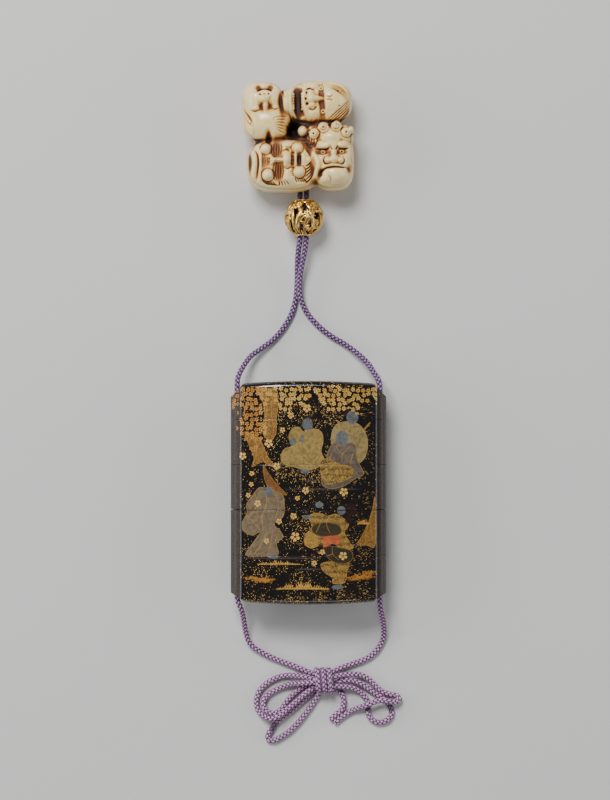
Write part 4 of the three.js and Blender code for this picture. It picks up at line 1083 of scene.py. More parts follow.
shift = np.cumsum([0] + [len(points) for points, _, _ in forms])
points = np.vstack([points for points, _, _ in forms])
quads = np.vstack([quads + start for (_, quads, _), start in zip(forms, shift)])
triangles = np.vstack([triangles + start for (_, _, triangles), start in zip(forms, shift)])
from_middle = np.linalg.norm(points, axis=1)
points *= np.minimum(1, (BEAD["radius"] - 0.02) / from_middle)[:, None]
ojime = new_piece("pierced_bead", points + [BEAD["x"], BEAD["y"], BEAD["z"]], quads, triangles)
store(ojime, "height_over", from_middle - BEAD["radius"])

gilt, tree, shader = new_material("gilt_metal", Metallic=1.0)
place = piece_place(tree)
over = stored(tree, "height_over")
blotches = noise(tree, place, 500.0, 3.0)
rubbed = ramped(tree, reckoned(tree, "MULTIPLY_ADD", blotches, 0.5, over), -0.75, 0.15)
colour = mixed(tree, rubbed, tint(74, 44, 16), tint(214, 168, 84))
colour = mixed(tree, ramped(tree, over, -0.35, 0.1, 0.0, 0.7), colour, tint(246, 214, 140))
led_by(shader, "Base Color", colour)
led_by(shader, "Roughness", ramped(tree, rubbed, 0.0, 1.0, 0.55, 0.27))
tool_marks = noise(tree, place, 1800.0, 2.0)
fine_relief(shader, tool_marks, 0.3, 0.00008)
ojime.data.materials.append(gilt)
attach(ojime, "root")
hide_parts("ojime_bead")

# ---------- the toggle ----------
# One block of ivory carved as four masks that lie head to foot round a gap, painted near black as shade: a
# plump one head down, a laughing one on its side, an old man's and a horned demon's. Handling has polished
# the heights, and brown stain has stayed in the hollows. The cord goes into a slot in its foot.
TOGGLE = {"x": -4.1, "y": 142.5, "middle": 10.5}
LOBES = [
    (-14.6, 14.2, 8, 8), (-12.7, 6.2, 9.7, 7.8), (8.6, 14, 13, 8.7), (-3.4, 13.6, 4, 5.6),
    (-6, -12, 14.8, 10.4), (14.2, -9.8, 8.2, 12), (12.6, 0.6, 9.6, 4.6),
]
LOBE_POWER = 2.9
LOBE_BLEND = 14
CORE_RADIUS = 17
OUTLINE_BETWEEN = (10.0, 30.0)
OUTLINE_HALVINGS = 30
BLOCK = 5
DOME = 5.0
DOME_POWER = 2.4
BACK_DOME = 7
BACK_POWER = 3.2
FRONT_CELLS = 280
BACK_RINGS = 16
# Hollows cut into the masks, and where the depth is below 0 broad swellings: middle, half-widths along and
# across, and depth.
HOLLOWS = [
    (-18.9, 15.4, 4, 5.2, -0.8), (-8.9, 14.6, 2.6, 4.4, -0.7), (-12.2, 4.8, 6.6, 4.6, -0.9),
    (14.9, 14.6, 4.8, 6.6, -1.2), (19.5, -9.7, 1.8, 2.6, -0.6), (-4.2, -16.4, 2.2, 3, -0.8),
    (-1.9, 2.3, 2.6, 3, 7), (-11.8, -0.9, 1.15, 2.8, 2.4), (-15.9, 18.8, 1.5, 1.6, 1.6),
    (-11, 19, 1.5, 1.6, 1.6), (-14.7, 11.1, 1.2, 1.4, 1.1), (-11.3, 11.4, 1.1, 1.3, 1.1),
    (-8.9, -5.8, 2.5, 3.3, 1.5), (-7.8, -14.9, 2.4, 3.7, 1.5), (-19.5, -10.3, 1.2, 4.8, 1.9),
    (9.9, -6.9, 2.9, 1.4, 1.4), (17.5, -6.7, 2.5, 1.4, 1.4), (9, -15.4, 1.5, 2, 1.3),
    (20.5, -13.6, 1.2, 2, 1.3), (-6.4, 13.4, 1.2, 5, 1.2), (6.6, 3.6, 1.7, 1.2, 1.0),
    (3.6, 0.2, 1.0, 2.6, 0.9), (12.6, 4.2, 1.0, 1.6, 0.9), (17.6, 3.2, 0.9, 1.8, 0.9),
    (8, -0.9, 0.9, 2.2, 0.9),
]
# Flat-bottomed cuts: depth, half-width and the line that each follows: the laughing mask's mouth and the
# hollow that its eyes lie in, then the old man's moustache and mouth.
CUTS = [
    (3.2, 1.95, [(0.5, 19.6), (-0.2, 17.2), (-0.4, 13.75), (0.1, 10.3), (1.7, 6.7)]),
    (1.35, 1.3, [(8.9, 21.6), (9.3, 18), (9.2, 14), (9.8, 10), (9.8, 6)]),
    (0.9, 0.75, [(-2.3, -6.6), (-2.1, -9.8), (-2.3, -13.4)]),
    (2.0, 0.95, [(0.4, -7.6), (0.3, -9.8), (0.4, -12)]),
]
# Forms left standing on the masks: middle, half-widths along and across, turn in degrees, and how proud.
SWELLINGS = [
    # plump mask: chin, nose bridge, nose, wings, eyelids
    (-13.5, 20.2, 1.9, 1.3, 0, 0.7), (-13.1, 11.9, 1.1, 2.7, 0, 1.3), (-13.7, 14.3, 2.3, 1.7, 0, 2.2),
    (-15.3, 15.2, 1.2, 1, 0, 1.5), (-11.7, 15.5, 1.2, 1, 0, 1.5), (-17.2, 10.6, 1.9, 0.9, 5, 0.9),
    (-8.9, 11.4, 1.4, 0.8, 5, 0.9),
    # laughing mask: chin, cheeks, nose bridge, wings, nose
    (-4.9, 13.5, 1.5, 4.9, 0, 1.2), (5.7, 19.9, 2.3, 2, 0, 1.2), (6.3, 8.5, 2.3, 2.6, 0, 1.2),
    (8.2, 14.5, 3, 1.3, 0, 1.7), (4.8, 17, 1.6, 1.4, 0, 1.5), (5.4, 12, 1.6, 1.4, 0, 1.5),
    (5.2, 14.6, 2.1, 2.4, 0, 2.4),
    # old man: cheeks, nose bridge, nose and wings, lip, chin
    (-4.2, -3.4, 2.3, 1.6, 0, 0.9), (-8.2, -9.95, 3.8, 0.85, 0, 1.7), (-4.9, -7.7, 1.4, 1.3, 0, 1.4),
    (-4.7, -11.6, 1.3, 1.2, 0, 1.4), (-4.6, -9.5, 1.7, 2.7, 0, 2.5), (2.3, -9.7, 1, 2, 0, 0.9),
    (4, -9.7, 0.8, 1.6, 0, 0.7),
    # demon: forehead, brows, nose bridge, wings and nose, cheek, jaw, cheek bump
    (13.1, -1.9, 4.2, 3.9, 0, 1.5), (9.7, -4, 2.9, 1.7, -10, 1.4), (17.5, -3.7, 2.7, 1.7, 10, 1.4),
    (14.2, -6.9, 1.2, 2.6, 0, 1.6), (11.6, -10, 1.5, 1.4, 0, 1.6), (17.1, -10, 1.5, 1.4, 0, 1.6),
    (14.3, -9.6, 2.1, 1.8, 0, 2.4), (14.7, -16.2, 5.3, 3.7, 0, 1.5), (10.7, -17.7, 2.1, 1.9, 0, 1.1),
]
SWELLING_ROOT = 0.8
# Balls: the old man's tufts, the demon's curls, and its horns, as middle, radius and how proud they stand.
TUFTS = [
    (-12.9, -5.5, 2.2, 2.1), (-12.1, -15.9, 2.35, 2.1), (-0.3, -5.1, 2.25, 2.2), (0.4, -14.6, 2.35, 2.2),
    (6.3, 0.6, 2, 1.9), (10, 3.2, 2.1, 2), (15.2, 3.7, 2.1, 2), (19.1, 1.3, 1.9, 1.8),
    (5.1, -3.3, 1.2, 0.9), (1.8, 1.9, 2.3, 2.6), (21, 2.3, 1.5, 2.2),
]
TUFT_ROOT = 1.3
CURLS = slice(4, 9)
# The ring cut into each curl, in shares of its radius, and the groove cut round every ball.
CURL_RING = 0.62
CURL_HALF = 0.14
CURL_DEPTH = 0.7
GROOVE_AWAY = 0.25
GROOVE_HALF = 0.3
GROOVE_DEPTH = 0.35
# The finer knife work on it: smooth lines cut in, or left standing where the height is above 0, as height,
# half-width and the line.
KNIFE_LINES = [
    # plump mask: lips, lashes, hair edge, cheek
    (-1.3, 0.42, [(-16.6, 17.1), (-15.4, 18), (-13.4, 18.35), (-11.3, 18), (-10.2, 17.1)]),
    (-0.8, 0.26, [(-18.8, 9.9), (-17.2, 9.4), (-15.5, 9.9)]),
    (-0.8, 0.26, [(-10.4, 10.6), (-9.1, 10.2), (-7.9, 10.7)]),
    (-1.1, 0.45, [(-22.2, 11.6), (-20.8, 9), (-19.5, 7.1), (-18.1, 4.6)]),
    (-0.6, 0.26, [(-22.3, 9.4), (-20.8, 6.7), (-19.4, 4.3), (-18.2, 3.4), (-17.6, 4.6)]),
    (-0.45, 0.26, [(-17.9, 3.2), (-17.3, 0.6), (-17.1, -1)]),
    # laughing mask: lips, nose wings, frown, eyelids
    (1.1, 0.6, [(3.4, 20.8), (2.5, 18.3), (2.1, 15.3), (2.1, 12.2), (2.9, 9), (4.6, 6.4)]),
    (0.9, 0.6, [(-1.9, 19.4), (-2.8, 17.2), (-3, 13.75), (-2.6, 10.3), (-1.2, 7.3)]),
    (-1.1, 0.36, [(3.2, 18), (4.5, 18.6), (6.3, 17.8)]),
    (-1.1, 0.36, [(4.4, 10.5), (5.9, 9.9), (7.3, 11.2)]),
    (-0.8, 0.28, [(11.3, 15.5), (12.6, 15.1), (13.9, 15.8)]),
    (-0.8, 0.28, [(11.3, 13.9), (12.6, 14.2), (13.9, 13.5)]),
    (0.6, 0.35, [(10.3, 20.6), (10.6, 18.6), (10.3, 16.6)]),
    (0.6, 0.35, [(11.1, 11.4), (11.3, 9.4), (11, 7.4)]),
    # old man: cap, forehead edge, brow forks, moustache, beard's edge
    (1.4, 0.85, [(-20.3, -5.2), (-18.2, -8.1), (-17.6, -11.2), (-17.9, -14.7), (-18.2, -17.7)]),
    (-1.2, 0.42, [(-18.6, -4.6), (-16.5, -7.4), (-15.9, -10.9), (-16.2, -14.7), (-16.8, -18.2)]),
    (0.9, 0.5, [(-16.8, -3.4), (-15.3, -6.8), (-14.9, -10.3), (-15.2, -14.4), (-15.2, -18.6)]),
    (1.5, 0.5, [(-11.3, -8.3), (-10.2, -9.3), (-8.8, -9.9)]),
    (1.5, 0.5, [(-11.3, -12), (-10.2, -10.9), (-8.8, -10)]),
    (-0.9, 0.32, [(-6.2, -6.3), (-4.8, -5.8), (-3.2, -6.6)]),
    (-0.9, 0.32, [(-5.2, -13.2), (-4, -13.5), (-2.9, -12.6)]),
    (1.3, 1.0, [(5.4, -5.6), (7, -8.7), (7.7, -11.9), (7, -16), (5.5, -19.3)]),
    (0.6, 0.4, [(-1.2, -7), (-1, -9.8), (-1.2, -12.6)]),
    # demon: brow edges and the notches between them, lids, nostrils, lips, cheek, jaw, hair behind
    (-1.4, 0.4, [(7.2, -5.5), (9.6, -5.6), (11.8, -5.5), (12.7, -4.4)]),
    (-1.4, 0.4, [(15.7, -4.3), (16.5, -5.3), (18, -5.4), (20.4, -5)]),
    (-1.0, 0.3, [(12.7, -4.4), (13.5, -5.6), (14.2, -5.9), (15, -5.6), (15.7, -4.3)]),
    (0.7, 0.3, [(8, -7.7), (9.9, -8.3), (11.8, -7.6)]),
    (0.7, 0.3, [(15.9, -7.7), (17.5, -8.1), (19.4, -7.4)]),
    (-1.2, 0.36, [(10.6, -8.7), (10.2, -10.3), (11, -11.5), (12.4, -11.6)]),
    (-1.2, 0.36, [(17.9, -8.7), (18.4, -10.3), (17.6, -11.5), (16.2, -11.6)]),
    (0.9, 0.45, [(9.4, -13), (11.4, -12.2), (14.3, -11.9), (17.3, -12.2), (19.4, -12.6)]),
    (-1.3, 0.36, [(8.6, -16.2), (9.5, -14.3), (11.2, -13.2), (14.3, -12.8), (17.5, -12.8), (19.4, -13),
     (20.7, -14.3)]),
    (-1.0, 0.3, [(12.1, -16), (13.1, -17.6), (12.9, -19.2)]),
    (-1.0, 0.32, [(20.7, -2.2), (21.8, -4.6), (21.6, -7.4)]),
    (-0.8, 0.3, [(20.9, -8.6), (21.5, -10.6), (21.4, -12.4)]),
]
# Hair and wrinkles, as sets of cuts that pass evenly from a first line to a last: how many, depth and
# half-width.
STRANDS = [
    (6, 0.5, 0.22, [(-10.2, 6.4), (-7.6, 7.4), (-4.9, 7.4)], [(-8.8, 2.6), (-7.2, 1.6), (-5.3, 0.9)]),
    (6, 0.95, 0.28, [(9.4, 21), (12.8, 20.8), (16.8, 19.2), (19.9, 16.2)], [(12.2, 18.8), (14.4, 18),
     (16.8, 16.5), (19.4, 14.2)]),
    (5, 1.0, 0.28, [(12.4, 6.8), (15.9, 9.8), (20, 13.8)], [(16.6, 6.4), (18.8, 8.4), (20.6, 10.6)]),
    (5, 1.05, 0.29, [(-14.1, -7.4), (-14.3, -10.6), (-14, -13.4)], [(-11.2, -8.6), (-11.7, -10.6),
     (-11.2, -12.6)]),
    (5, 0.6, 0.24, [(-10.4, -3.2), (-10.9, -5.8), (-10, -8.4)], [(-6.9, -3), (-6.6, -5.6), (-7.4, -8.2)]),
    (5, 0.6, 0.24, [(-9.6, -11.6), (-10.1, -14.8), (-9.2, -18.4)], [(-6.2, -11.6), (-5.9, -14.6),
     (-6.6, -18.2)]),
    (5, 0.5, 0.2, [(-2.9, -7), (-2.3, -7.1), (-1.7, -7)], [(-2.9, -13.2), (-2.3, -13.1), (-1.7, -13.2)]),
    (5, 1.1, 0.3, [(1.8, -2.9), (3.9, -3.6), (6, -6.2)], [(2.9, -5.8), (4, -7), (4.9, -8.6)]),
    (6, 1.1, 0.3, [(3, -12.4), (4.2, -11.7), (5.2, -10.4)], [(2.8, -19.4), (5.4, -16.4), (6.4, -13)]),
    (5, 1.1, 0.28, [(-14.6, -17.6), (-13.4, -18.9), (-11.6, -19.9)], [(-10.2, -18.4), (-9.3, -19.5),
     (-8, -20.1)]),
    (4, 1.1, 0.28, [(-7.6, -18.4), (-7.4, -19.4), (-7.7, -20.3)], [(-5.2, -17.8), (-4.2, -18.9),
     (-3.6, -19.9)]),
    (5, 1.1, 0.28, [(-1.2, -17), (-0.9, -18), (-0.2, -19.1)], [(2, -16.9), (2.6, -17.9), (3.6, -18.7)]),
    (3, 0.6, 0.24, [(-5, -4.2), (-3.8, -4.9), (-2.7, -4.6)], [(-5.2, -5.2), (-3.8, -5.8), (-2.7, -5.5)]),
    (3, 0.6, 0.24, [(-4, -14.3), (-2.9, -14.7), (-2, -14.4)], [(-3.8, -15.9), (-2.7, -16.3),
     (-1.8, -16)]),
    (4, 0.7, 0.26, [(3.6, 1.4), (4.4, -1), (4.2, -3.2)], [(7.6, -1.6), (7.4, -3), (6.6, -4.6)]),
    (3, 0.6, 0.24, [(20.4, 0), (21, -1.2), (20.9, -2.6)], [(21.6, 0.4), (22, -1), (22, -2.4)]),
]
# Round drillings: nostrils, pupils, curl middles and dots, as middle, radius and depth.
DRILLINGS = [
    (-15.2, 16.1, 0.45, 1.1), (-11.8, 16.3, 0.45, 1.1), (-13.5, 16.5, 0.26, 0.6), (3, 14.4, 0.45, 1.1),
    (3.6, 12.4, 0.55, 1.2), (3.4, 16.9, 0.5, 1.1), (9.1, 18.7, 0.42, 0.9), (9.9, 9.4, 0.42, 0.9),
    (15.8, 17.6, 0.34, 0.9), (16.4, 11.6, 0.34, 0.9), (9.9, -6.8, 0.38, 1), (17.4, -6.6, 0.38, 1),
    (6.1, 0.5, 0.55, 1.9), (10, 3.1, 0.5, 1.7), (15.4, 4.3, 0.5, 1.7), (19.2, 1.2, 0.55, 1.9),
    (5.1, -3.4, 0.4, 1.2), (-19, 4.7, 0.32, 0.7), (-9.6, 6.2, 0.3, 0.5), (13.9, 15.2, 0.3, 0.4),
]
EYEBALLS = [(9.9, -6.8, 1.05, 0.8), (17.4, -6.6, 1.05, 0.8), (9.1, 18.7, 1.0, 0.8), (9.9, 9.4, 1.0, 0.8)]
# Teeth stand in rows in the laughing mask's mouth: from, to, how many, and height.
TOOTH_HALF = (0.42, 0.56)
TEETH = [((-1.75, 16.4), (-1.65, 10.8), 6, 1.1), ((1.35, 16.4), (1.5, 10.4), 6, 1.3)]
# Where more stain stays than the hollows' depth alone says: middle, half-widths and how much.
STAINED = [
    (-6.2, 12, 1.5, 7, 0.5), (-15.9, 18.9, 1.5, 1.7, 0.9), (-11, 19.1, 1.5, 1.7, 0.9),
    (-14.4, 10.9, 1.6, 1.8, 0.25), (-11.1, 11.2, 1.6, 1.8, 0.25), (-5.2, 4, 2.6, 3.8, 0.95),
    (-19.2, 6.2, 1.4, 3.6, 0.5), (9.6, 13.6, 1.4, 8, 0.55), (-0.1, 13, 1.8, 7.2, 1.7),
    (18.8, 8, 3.8, 3, 1.3), (20.2, 12.4, 1.8, 3.8, 0.8), (17.4, 18.6, 4.8, 2.4, 0.8),
    (-8.8, -5.6, 2.6, 3.6, 0.7), (-7.4, 2.2, 3.4, 3.4, 0.6), (-6.4, 12.5, 2.2, 6.5, 0.4),
    (-7.8, -14.9, 2.6, 4, 0.7), (-19.6, -10.4, 1.3, 5, 0.6), (-2.2, -10, 1.1, 4, 0.5),
    (0.4, -9.8, 1, 2.6, 1.5), (9.9, -6.9, 2.9, 1.6, 0.6), (17.5, -6.7, 2.5, 1.6, 0.6),
    (8.9, -14.6, 2, 3.6, 0.6), (20.5, -12.8, 1.4, 3, 0.6), (6.4, 1.6, 5.4, 3.6, 0.5),
    (1.8, 4.6, 3, 2, 0.35), (17.4, 4, 3.4, 2.4, 0.45), (4, -15.4, 2.6, 3.6, 0.7),
    (3.6, -4.9, 2.4, 3, 0.7), (4.6, -19, 3, 1.8, 0.6), (-12.9, -10.6, 2.8, 6, 0.45),
    (-10, -19.4, 6, 1.6, 0.4), (21.4, -4, 1.2, 4.6, 0.45), (-19, -3.4, 2.4, 1.6, 0.5),
    (6.4, -19.4, 1.8, 2.6, 0.7),
]


def lobe_share(lobe, x, y):
    """How far out of a lobe's middle a place is, 1 on its soft square outline."""
    cx, cy, a, b = lobe
    return (np.abs((x - cx) / a) ** LOBE_POWER + np.abs((y - cy) / b) ** LOBE_POWER) ** (1 / LOBE_POWER)


def smooth_least(shares):
    """The smooth least of several shares: minus the logarithm of the sum of exp(-k share), over k."""
    return -np.log(sum(np.exp(-LOBE_BLEND * share) for share in shares)) / LOBE_BLEND


def toggle_outline(angle):
    """The radius at which the lobes and the core between them reach share 1, by halving."""
    inside, outside = (np.full(angle.shape, reach) for reach in OUTLINE_BETWEEN)
    for _ in range(OUTLINE_HALVINGS):
        r = (inside + outside) / 2
        x, y = r * np.cos(angle), r * np.sin(angle)
        is_in = smooth_least([lobe_share(lobe, x, y) for lobe in LOBES] + [r / CORE_RADIUS]) < 1
        inside, outside = np.where(is_in, r, inside), np.where(is_in, outside, r)
    return inside


def toggle_dome(x, y, power):
    """The masks' swelling: the root of 1 less their blended share to a power."""
    share = smooth_least([lobe_share(lobe, x, y) for lobe in LOBES])
    return np.sqrt(np.clip(1 - np.clip(share, 0, 9) ** power, 0, 1))


def oval_share(x, y, cx, cy, rx, ry, turn=0.0):
    """How far out a place is in a turned oval, 1 on its edge."""
    c, s = np.cos(np.radians(turn)), np.sin(np.radians(turn))
    return np.hypot(((x - cx) * c + (y - cy) * s) / rx, ((y - cy) * c - (x - cx) * s) / ry)


def add_line(total, x, y, height, width, corners, power=2):
    """A cut or ridge along a line: its height times exp(-(distance / width)^power), tapered at both ends."""
    low, high = np.min(corners, 0) - 3 * width, np.max(corners, 0) + 3 * width
    near = (x > low[0]) & (x < high[0]) & (y > low[1]) & (y < high[1])
    away, along = line_distance(x[near], y[near], corners)
    taper = np.sqrt(np.clip(np.sin(np.pi * np.clip(along, 0.02, 0.98)), 0, 1))
    total[near] += height * taper * np.exp(-(away / width) ** power)


def knife_work(x, y):
    """Sum of the cuts, lines, strands and drillings, and the eyeballs and teeth that stand up."""
    total = np.zeros_like(x)
    for depth, width, corners in CUTS:
        add_line(total, x, y, -depth, width, corners, 4)
    for height, width, corners in KNIFE_LINES:
        add_line(total, x, y, height, width, corners)
    for count, depth, width, first, last in STRANDS:
        for share in np.linspace(0, 1, count):
            add_line(total, x, y, -depth, width, np.array(first) * (1 - share) + np.array(last) * share)
    for cx, cy, radius, height in EYEBALLS:
        total += height * np.sqrt(np.clip(1 - ((x - cx) ** 2 + (y - cy) ** 2) / radius ** 2, 0, 1))
    for start, end, count, height in TEETH:
        for share in np.linspace(0, 1, count):
            cx, cy = np.array(start) + (np.array(end) - start) * share
            apart = np.abs((x - cx) / TOOTH_HALF[0]) ** 4 + np.abs((y - cy) / TOOTH_HALF[1]) ** 4
            total += height * np.exp(-apart ** 2)
    for cx, cy, radius, depth in DRILLINGS:
        total -= depth * np.exp(-(((x - cx) ** 2 + (y - cy) ** 2) / radius ** 2) ** 2)
    for cx, cy, radius, _ in TUFTS[CURLS]:
        away = np.hypot(x - cx, y - cy) / radius
        total -= CURL_DEPTH * np.exp(-((away - CURL_RING) / CURL_HALF) ** 2) * (away < 1)
    for cx, cy, radius, _ in TUFTS:
        away = np.hypot(x - cx, y - cy) - radius
        total -= GROOVE_DEPTH * np.exp(-((away - GROOVE_AWAY) / GROOVE_HALF) ** 2) * (away > 0)
    return total


def with_forms(x, y, ground, height):
    """The height with each swelling and ball standing on the ground where it is the higher: its height over
    its root times the root of 1 less its oval share squared."""
    for cx, cy, rx, ry, turn, proud in SWELLINGS:
        share = oval_share(x, y, cx, cy, rx, ry, turn)
        form = ground - SWELLING_ROOT + (proud + SWELLING_ROOT) * np.sqrt(np.clip(1 - share ** 2, 0, 1))
        height = np.where(share < 1, np.maximum(height, form), height)
    for cx, cy, radius, proud in TUFTS:
        share = oval_share(x, y, cx, cy, radius, radius)
        root = BLOCK + DOME * toggle_dome(np.array(float(cx)), np.array(float(cy)), DOME_POWER) - TUFT_ROOT
        ball = root + (proud + TUFT_ROOT) * np.sqrt(np.clip(1 - share ** 2, 0, 1))
        height = np.where(share < 1, np.maximum(height, ball), height)
    return height


def softened(field, reach):
    """The field averaged over a square of 2 reach + 1 cells, twice, by running sums."""
    for axis in (0, 1, 0, 1):
        pad = [(reach + 1, reach) if i == axis else (0, 0) for i in range(2)]
        total = np.cumsum(np.pad(field, pad, mode="edge"), axis)
        size = field.shape[axis]
        high = np.take(total, np.arange(2 * reach + 1, 2 * reach + 1 + size), axis)
        low = np.take(total, np.arange(size), axis)
        field = (high - low) / (2 * reach + 1)
    return field


# The front is a square grid drawn onto the outline: a cell's share of the way out is the greater of |u| and
# |v|, and its reach the sine of that share's quarter turn. The rim's points carry the back's rings.
steps = np.linspace(-1, 1, FRONT_CELLS + 1)
u, v = np.meshgrid(steps, steps, indexing="ij")
share = np.maximum(np.abs(u), np.abs(v))
angle = np.arctan2(v, u)
reach = np.sin(np.pi / 2 * share)
radius = reach * toggle_outline(angle)
x, y = radius * np.cos(angle), radius * np.sin(angle)
inner = 1 - reach ** 16
ground = BLOCK * np.sqrt(np.clip(1 - reach ** 8, 0, 1)) + DOME * toggle_dome(x, y, DOME_POWER)
hollowed = ground.copy()
for cx, cy, rx, ry, depth in HOLLOWS:
    hollowed -= depth * np.exp(-oval_share(x, y, cx, cy, rx, ry) ** 3) * inner
height = with_forms(x, y, ground, hollowed)
height = softened(height, 1) * inner + height * (1 - inner) + knife_work(x, y) * inner
height[share > 1 - 1e-9] = 0

# Stain: hollows of three widths, worked out on an even grid of EVEN_STEP, then the listed places, and
# less on what stands up and is rubbed.
EVEN_STEP = 0.17
EVEN_HALF = 27.0


def on_grid(field, row, column):
    """A grid's value at fractional rows and columns, mixed from the four nearest."""
    r, c = np.clip(row, 0, field.shape[0] - 1.001), np.clip(column, 0, field.shape[1] - 1.001)
    i, j = r.astype(int), c.astype(int)
    r, c = r - i, c - j
    near = field[i, j] * (1 - r) + field[i + 1, j] * r
    return near * (1 - c) + (field[i, j + 1] * (1 - r) + field[i + 1, j + 1] * r) * c


even = np.arange(-EVEN_HALF, EVEN_HALF, EVEN_STEP)
even_x, even_y = np.meshgrid(even, even, indexing="ij")
even_angle = np.arctan2(even_y, even_x)
even_reach = np.clip(np.hypot(even_x, even_y) / toggle_outline(even_angle), 0, 1)
scale = np.arcsin(even_reach) * 2 / np.pi
scale /= np.maximum(np.abs(np.cos(even_angle)), np.abs(np.sin(even_angle)))
even_height = on_grid(height, (scale * np.cos(even_angle) + 1) * FRONT_CELLS / 2,
                      (scale * np.sin(even_angle) + 1) * FRONT_CELLS / 2)
even_stain = 0.85 * np.clip(softened(even_height, 2) - even_height, -0.3, 0.9)
even_stain += 0.5 * np.clip(softened(even_height, 6) - even_height, -0.7, 2)
even_stain += 0.2 * np.clip(softened(even_height, 16) - even_height, -1.5, 4)
soaked = sum(much * np.exp(-oval_share(x, y, cx, cy, rx, ry) ** 3) for cx, cy, rx, ry, much in STAINED)
polish = np.clip((height - ground - 0.9) / 1.4, 0, 1)
rim_fade = np.clip((0.94 - share) / 0.14, 0, 1)
stain_field = on_grid(even_stain, (x + EVEN_HALF) / EVEN_STEP, (y + EVEN_HALF) / EVEN_STEP)
flank = np.clip((9.3 - height) / 3, 0, 1) * np.clip((0.92 - share) / 0.1, 0, 1)
stain_field = (1.4 * stain_field + 0.3 * flank + 0.62 * soaked * (1 - 0.75 * polish)) * rim_fade
stain_field -= 0.12 * polish
# Painted shade: the low ground between the masks, where the gap is, is marked to be painted near black.
gap_shade_field = np.clip((6.2 - height) / 2, 0, 1) * np.clip((0.84 - share) / 0.06, 0, 1)
toggle_middle = np.array([TOGGLE["x"], TOGGLE["y"], TOGGLE["middle"]])
front = toggle_middle + np.stack([x, y, height], -1).reshape(-1, 3)

index = np.arange((FRONT_CELLS + 1) ** 2).reshape(FRONT_CELLS + 1, FRONT_CELLS + 1)
front_quads = np.stack([index[:-1, :-1], index[1:, :-1], index[1:, 1:], index[:-1, 1:]], -1).reshape(-1, 4)
rim = np.concatenate([index[:-1, 0], index[-1, :-1], index[:0:-1, -1], index[0, :0:-1]])
rim_angle, rim_radius = angle.ravel()[rim], radius.ravel()[rim]
back_share = np.linspace(1, 0, BACK_RINGS + 1)[1:-1, None]
back_reach = np.sin(np.pi / 2 * back_share)
back_x, back_y = back_reach * rim_radius * np.cos(rim_angle), back_reach * rim_radius * np.sin(rim_angle)
back_block = BLOCK * np.sqrt(1 - back_reach ** 8)
back_dome = toggle_dome(back_x, back_y, BACK_POWER)
back_height = np.minimum(TOGGLE["middle"], back_block + BACK_DOME * back_dome)
back = toggle_middle + np.stack([back_x, back_y, -back_height], -1).reshape(-1, 3)
around = len(rim)
rows = np.concatenate([rim, len(front) + np.arange(len(back))]).reshape(-1, around)
turned = np.roll(rows, -1, 1)
back_quads = np.stack([rows[:-1], rows[1:], turned[1:], turned[:-1]], -1).reshape(-1, 4)
pole = len(front) + len(back)
back_fan = np.stack([rows[-1], np.full(around, pole), turned[-1]], 1)
points = np.vstack([front, back, [[TOGGLE["x"], TOGGLE["y"], 0.0]]])
netsuke = new_piece("ivory_toggle", points, np.vstack([front_quads, back_quads]), back_fan)
stain = np.zeros(len(points))
stain[:len(front)] = stain_field.ravel()
back_stain = 0.5 * np.clip((0.6 - back_dome) / 0.4, 0, 1) * np.clip((0.8 - back_share) / 0.3, 0, 1)
stain[len(front):-1] = back_stain.ravel()
gap_shade = np.zeros(len(points))
gap_shade[:len(front)] = gap_shade_field.ravel()
store(netsuke, "stain", stain)
store(netsuke, "gap_shade", gap_shade)

# The ivory's tones, from rubbed pale to soaked brown: the stain from which and to which each comes in, how
# strongly, and its colour.
STAIN_TONES = [
    (-0.06, -0.3, 0.5, (250, 230, 172)), (-0.07, 0.22, 0.8, (206, 148, 58)),
    (0.18, 0.56, 0.88, (146, 84, 22)), (0.5, 1.05, 0.9, (82, 34, 14)), (1.0, 1.7, 0.85, (44, 12, 12)),
]
ivory, tree, shader = new_material("stained_ivory", Coat_Roughness=0.18, IOR=1.54)
shader.inputs["Subsurface Weight"].default_value = 0.1
shader.inputs["Subsurface Radius"].default_value = (0.0012, 0.0008, 0.0004)
shader.inputs["Subsurface Scale"].default_value = 1.0
place = piece_place(tree)
cloudy = noise(tree, place, 130.0, 4.0)
fine = noise(tree, place, 900.0, 3.0)
stain_value = stored(tree, "stain")
stain_value = reckoned(tree, "ADD", stain_value, ramped(tree, cloudy, 0.3, 0.75, -0.05, 0.1))
stain_value = reckoned(tree, "ADD", stain_value, ramped(tree, fine, 0.35, 0.7, -0.03, 0.04))
gap_shade_value = stored(tree, "gap_shade")
colour = mixed(tree, ramped(tree, cloudy, 0.35, 0.7), tint(240, 211, 140), tint(226, 188, 106))
for low, high, cover, tone in STAIN_TONES:
    colour = mixed(tree, ramped(tree, stain_value, low, high, 0.0, cover), colour, tint(*tone))
# Painted shade: the gap between the masks is painted near black.
colour = mixed(tree, product(tree, gap_shade_value, 0.9), colour, tint(26, 11, 8))
led_by(shader, "Base Color", colour)
led_by(shader, "Roughness", ramped(tree, stain_value, 0.0, 0.6, 0.3, 0.68))
led_by(shader, "Coat Weight", ramped(tree, stain_value, 0.0, 0.5, 0.34, 0.02))
pores = noise(tree, place, 2500.0, 2.0)
fine_relief(shader, pores, 0.15, 0.00005)
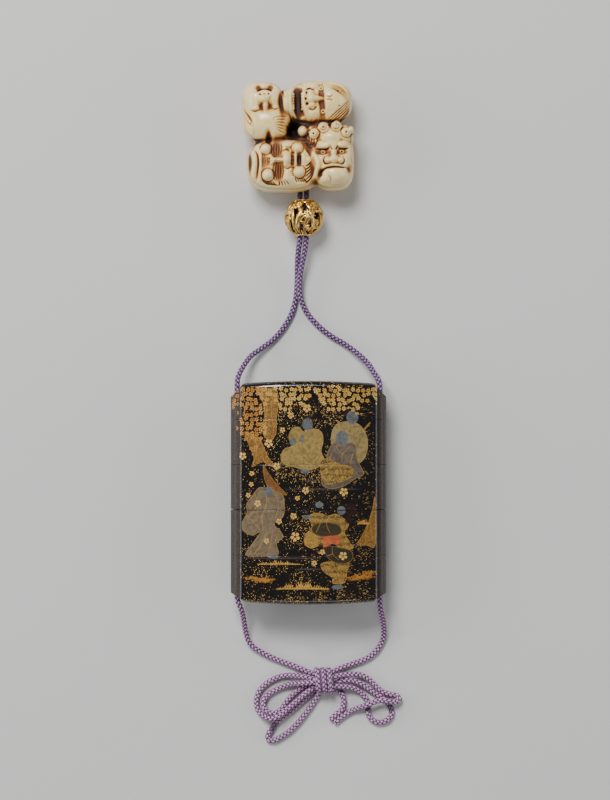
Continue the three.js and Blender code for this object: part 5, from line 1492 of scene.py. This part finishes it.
netsuke.data.materials.append(ivory)
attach(netsuke, "root")
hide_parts("netsuke_toggle")

# ---------- the floor and the light ----------
# A plain pale table top, lit from both sides and from beyond the toggle by broad soft lamps. They hang low,
# so that the lacquer's flat front mirrors none of them and only its edges catch a line of light.
FLOOR_HALF = 1.6
FLOOR_DROP = 0.00002

floor_mesh = bpy.data.meshes.new("floor")
floor_mesh.from_pydata(
    [(x * FLOOR_HALF, y * FLOOR_HALF, -FLOOR_DROP) for x, y in ((-1, -1), (1, -1), (1, 1), (-1, 1))],
    [], [(0, 1, 2, 3)],
)
floor = bpy.data.objects.new("floor", floor_mesh)
bpy.context.scene.collection.objects.link(floor)
pale, tree, shader = new_material("pale_floor", Roughness=0.85, Base_Color=tint(206, 205, 203))
shader.inputs["Specular IOR Level"].default_value = 0.2
floor_mesh.materials.append(pale)

LAMPS = {
    "left_lamp": {"at": (-1.05, 0.15, 0.42), "size": (1.3, 0.34), "watts": 6.0},
    "right_lamp": {"at": (1.1, 0.05, 0.4), "size": (1.3, 0.34), "watts": 4.0},
    "far_lamp": {"at": (-0.35, 0.8, 1.15), "size": (0.6, 0.5), "watts": 22.0},
    "near_lamp": {"at": (0.1, -0.95, 0.7), "size": (0.9, 0.3), "watts": 2.0},
}
AIM = Vector((0.0, 0.03, 0.0))
for name, lamp in LAMPS.items():
    lamp_data = bpy.data.lights.new(name, "AREA")
    lamp_data.shape = "RECTANGLE"
    lamp_data.size, lamp_data.size_y = lamp["size"]
    lamp_data.energy = lamp["watts"]
    lamp_object = bpy.data.objects.new(name, lamp_data)
    lamp_object.location = lamp["at"]
    lamp_object.rotation_euler = (AIM - Vector(lamp["at"])).to_track_quat("-Z", "Y").to_euler()
    bpy.context.scene.collection.objects.link(lamp_object)

world = bpy.data.worlds.new("studio")
world.use_nodes = True
world.node_tree.nodes["Background"].inputs["Color"].default_value = tint(235, 238, 244)
world.node_tree.nodes["Background"].inputs["Strength"].default_value = 0.22
bpy.context.scene.world = world
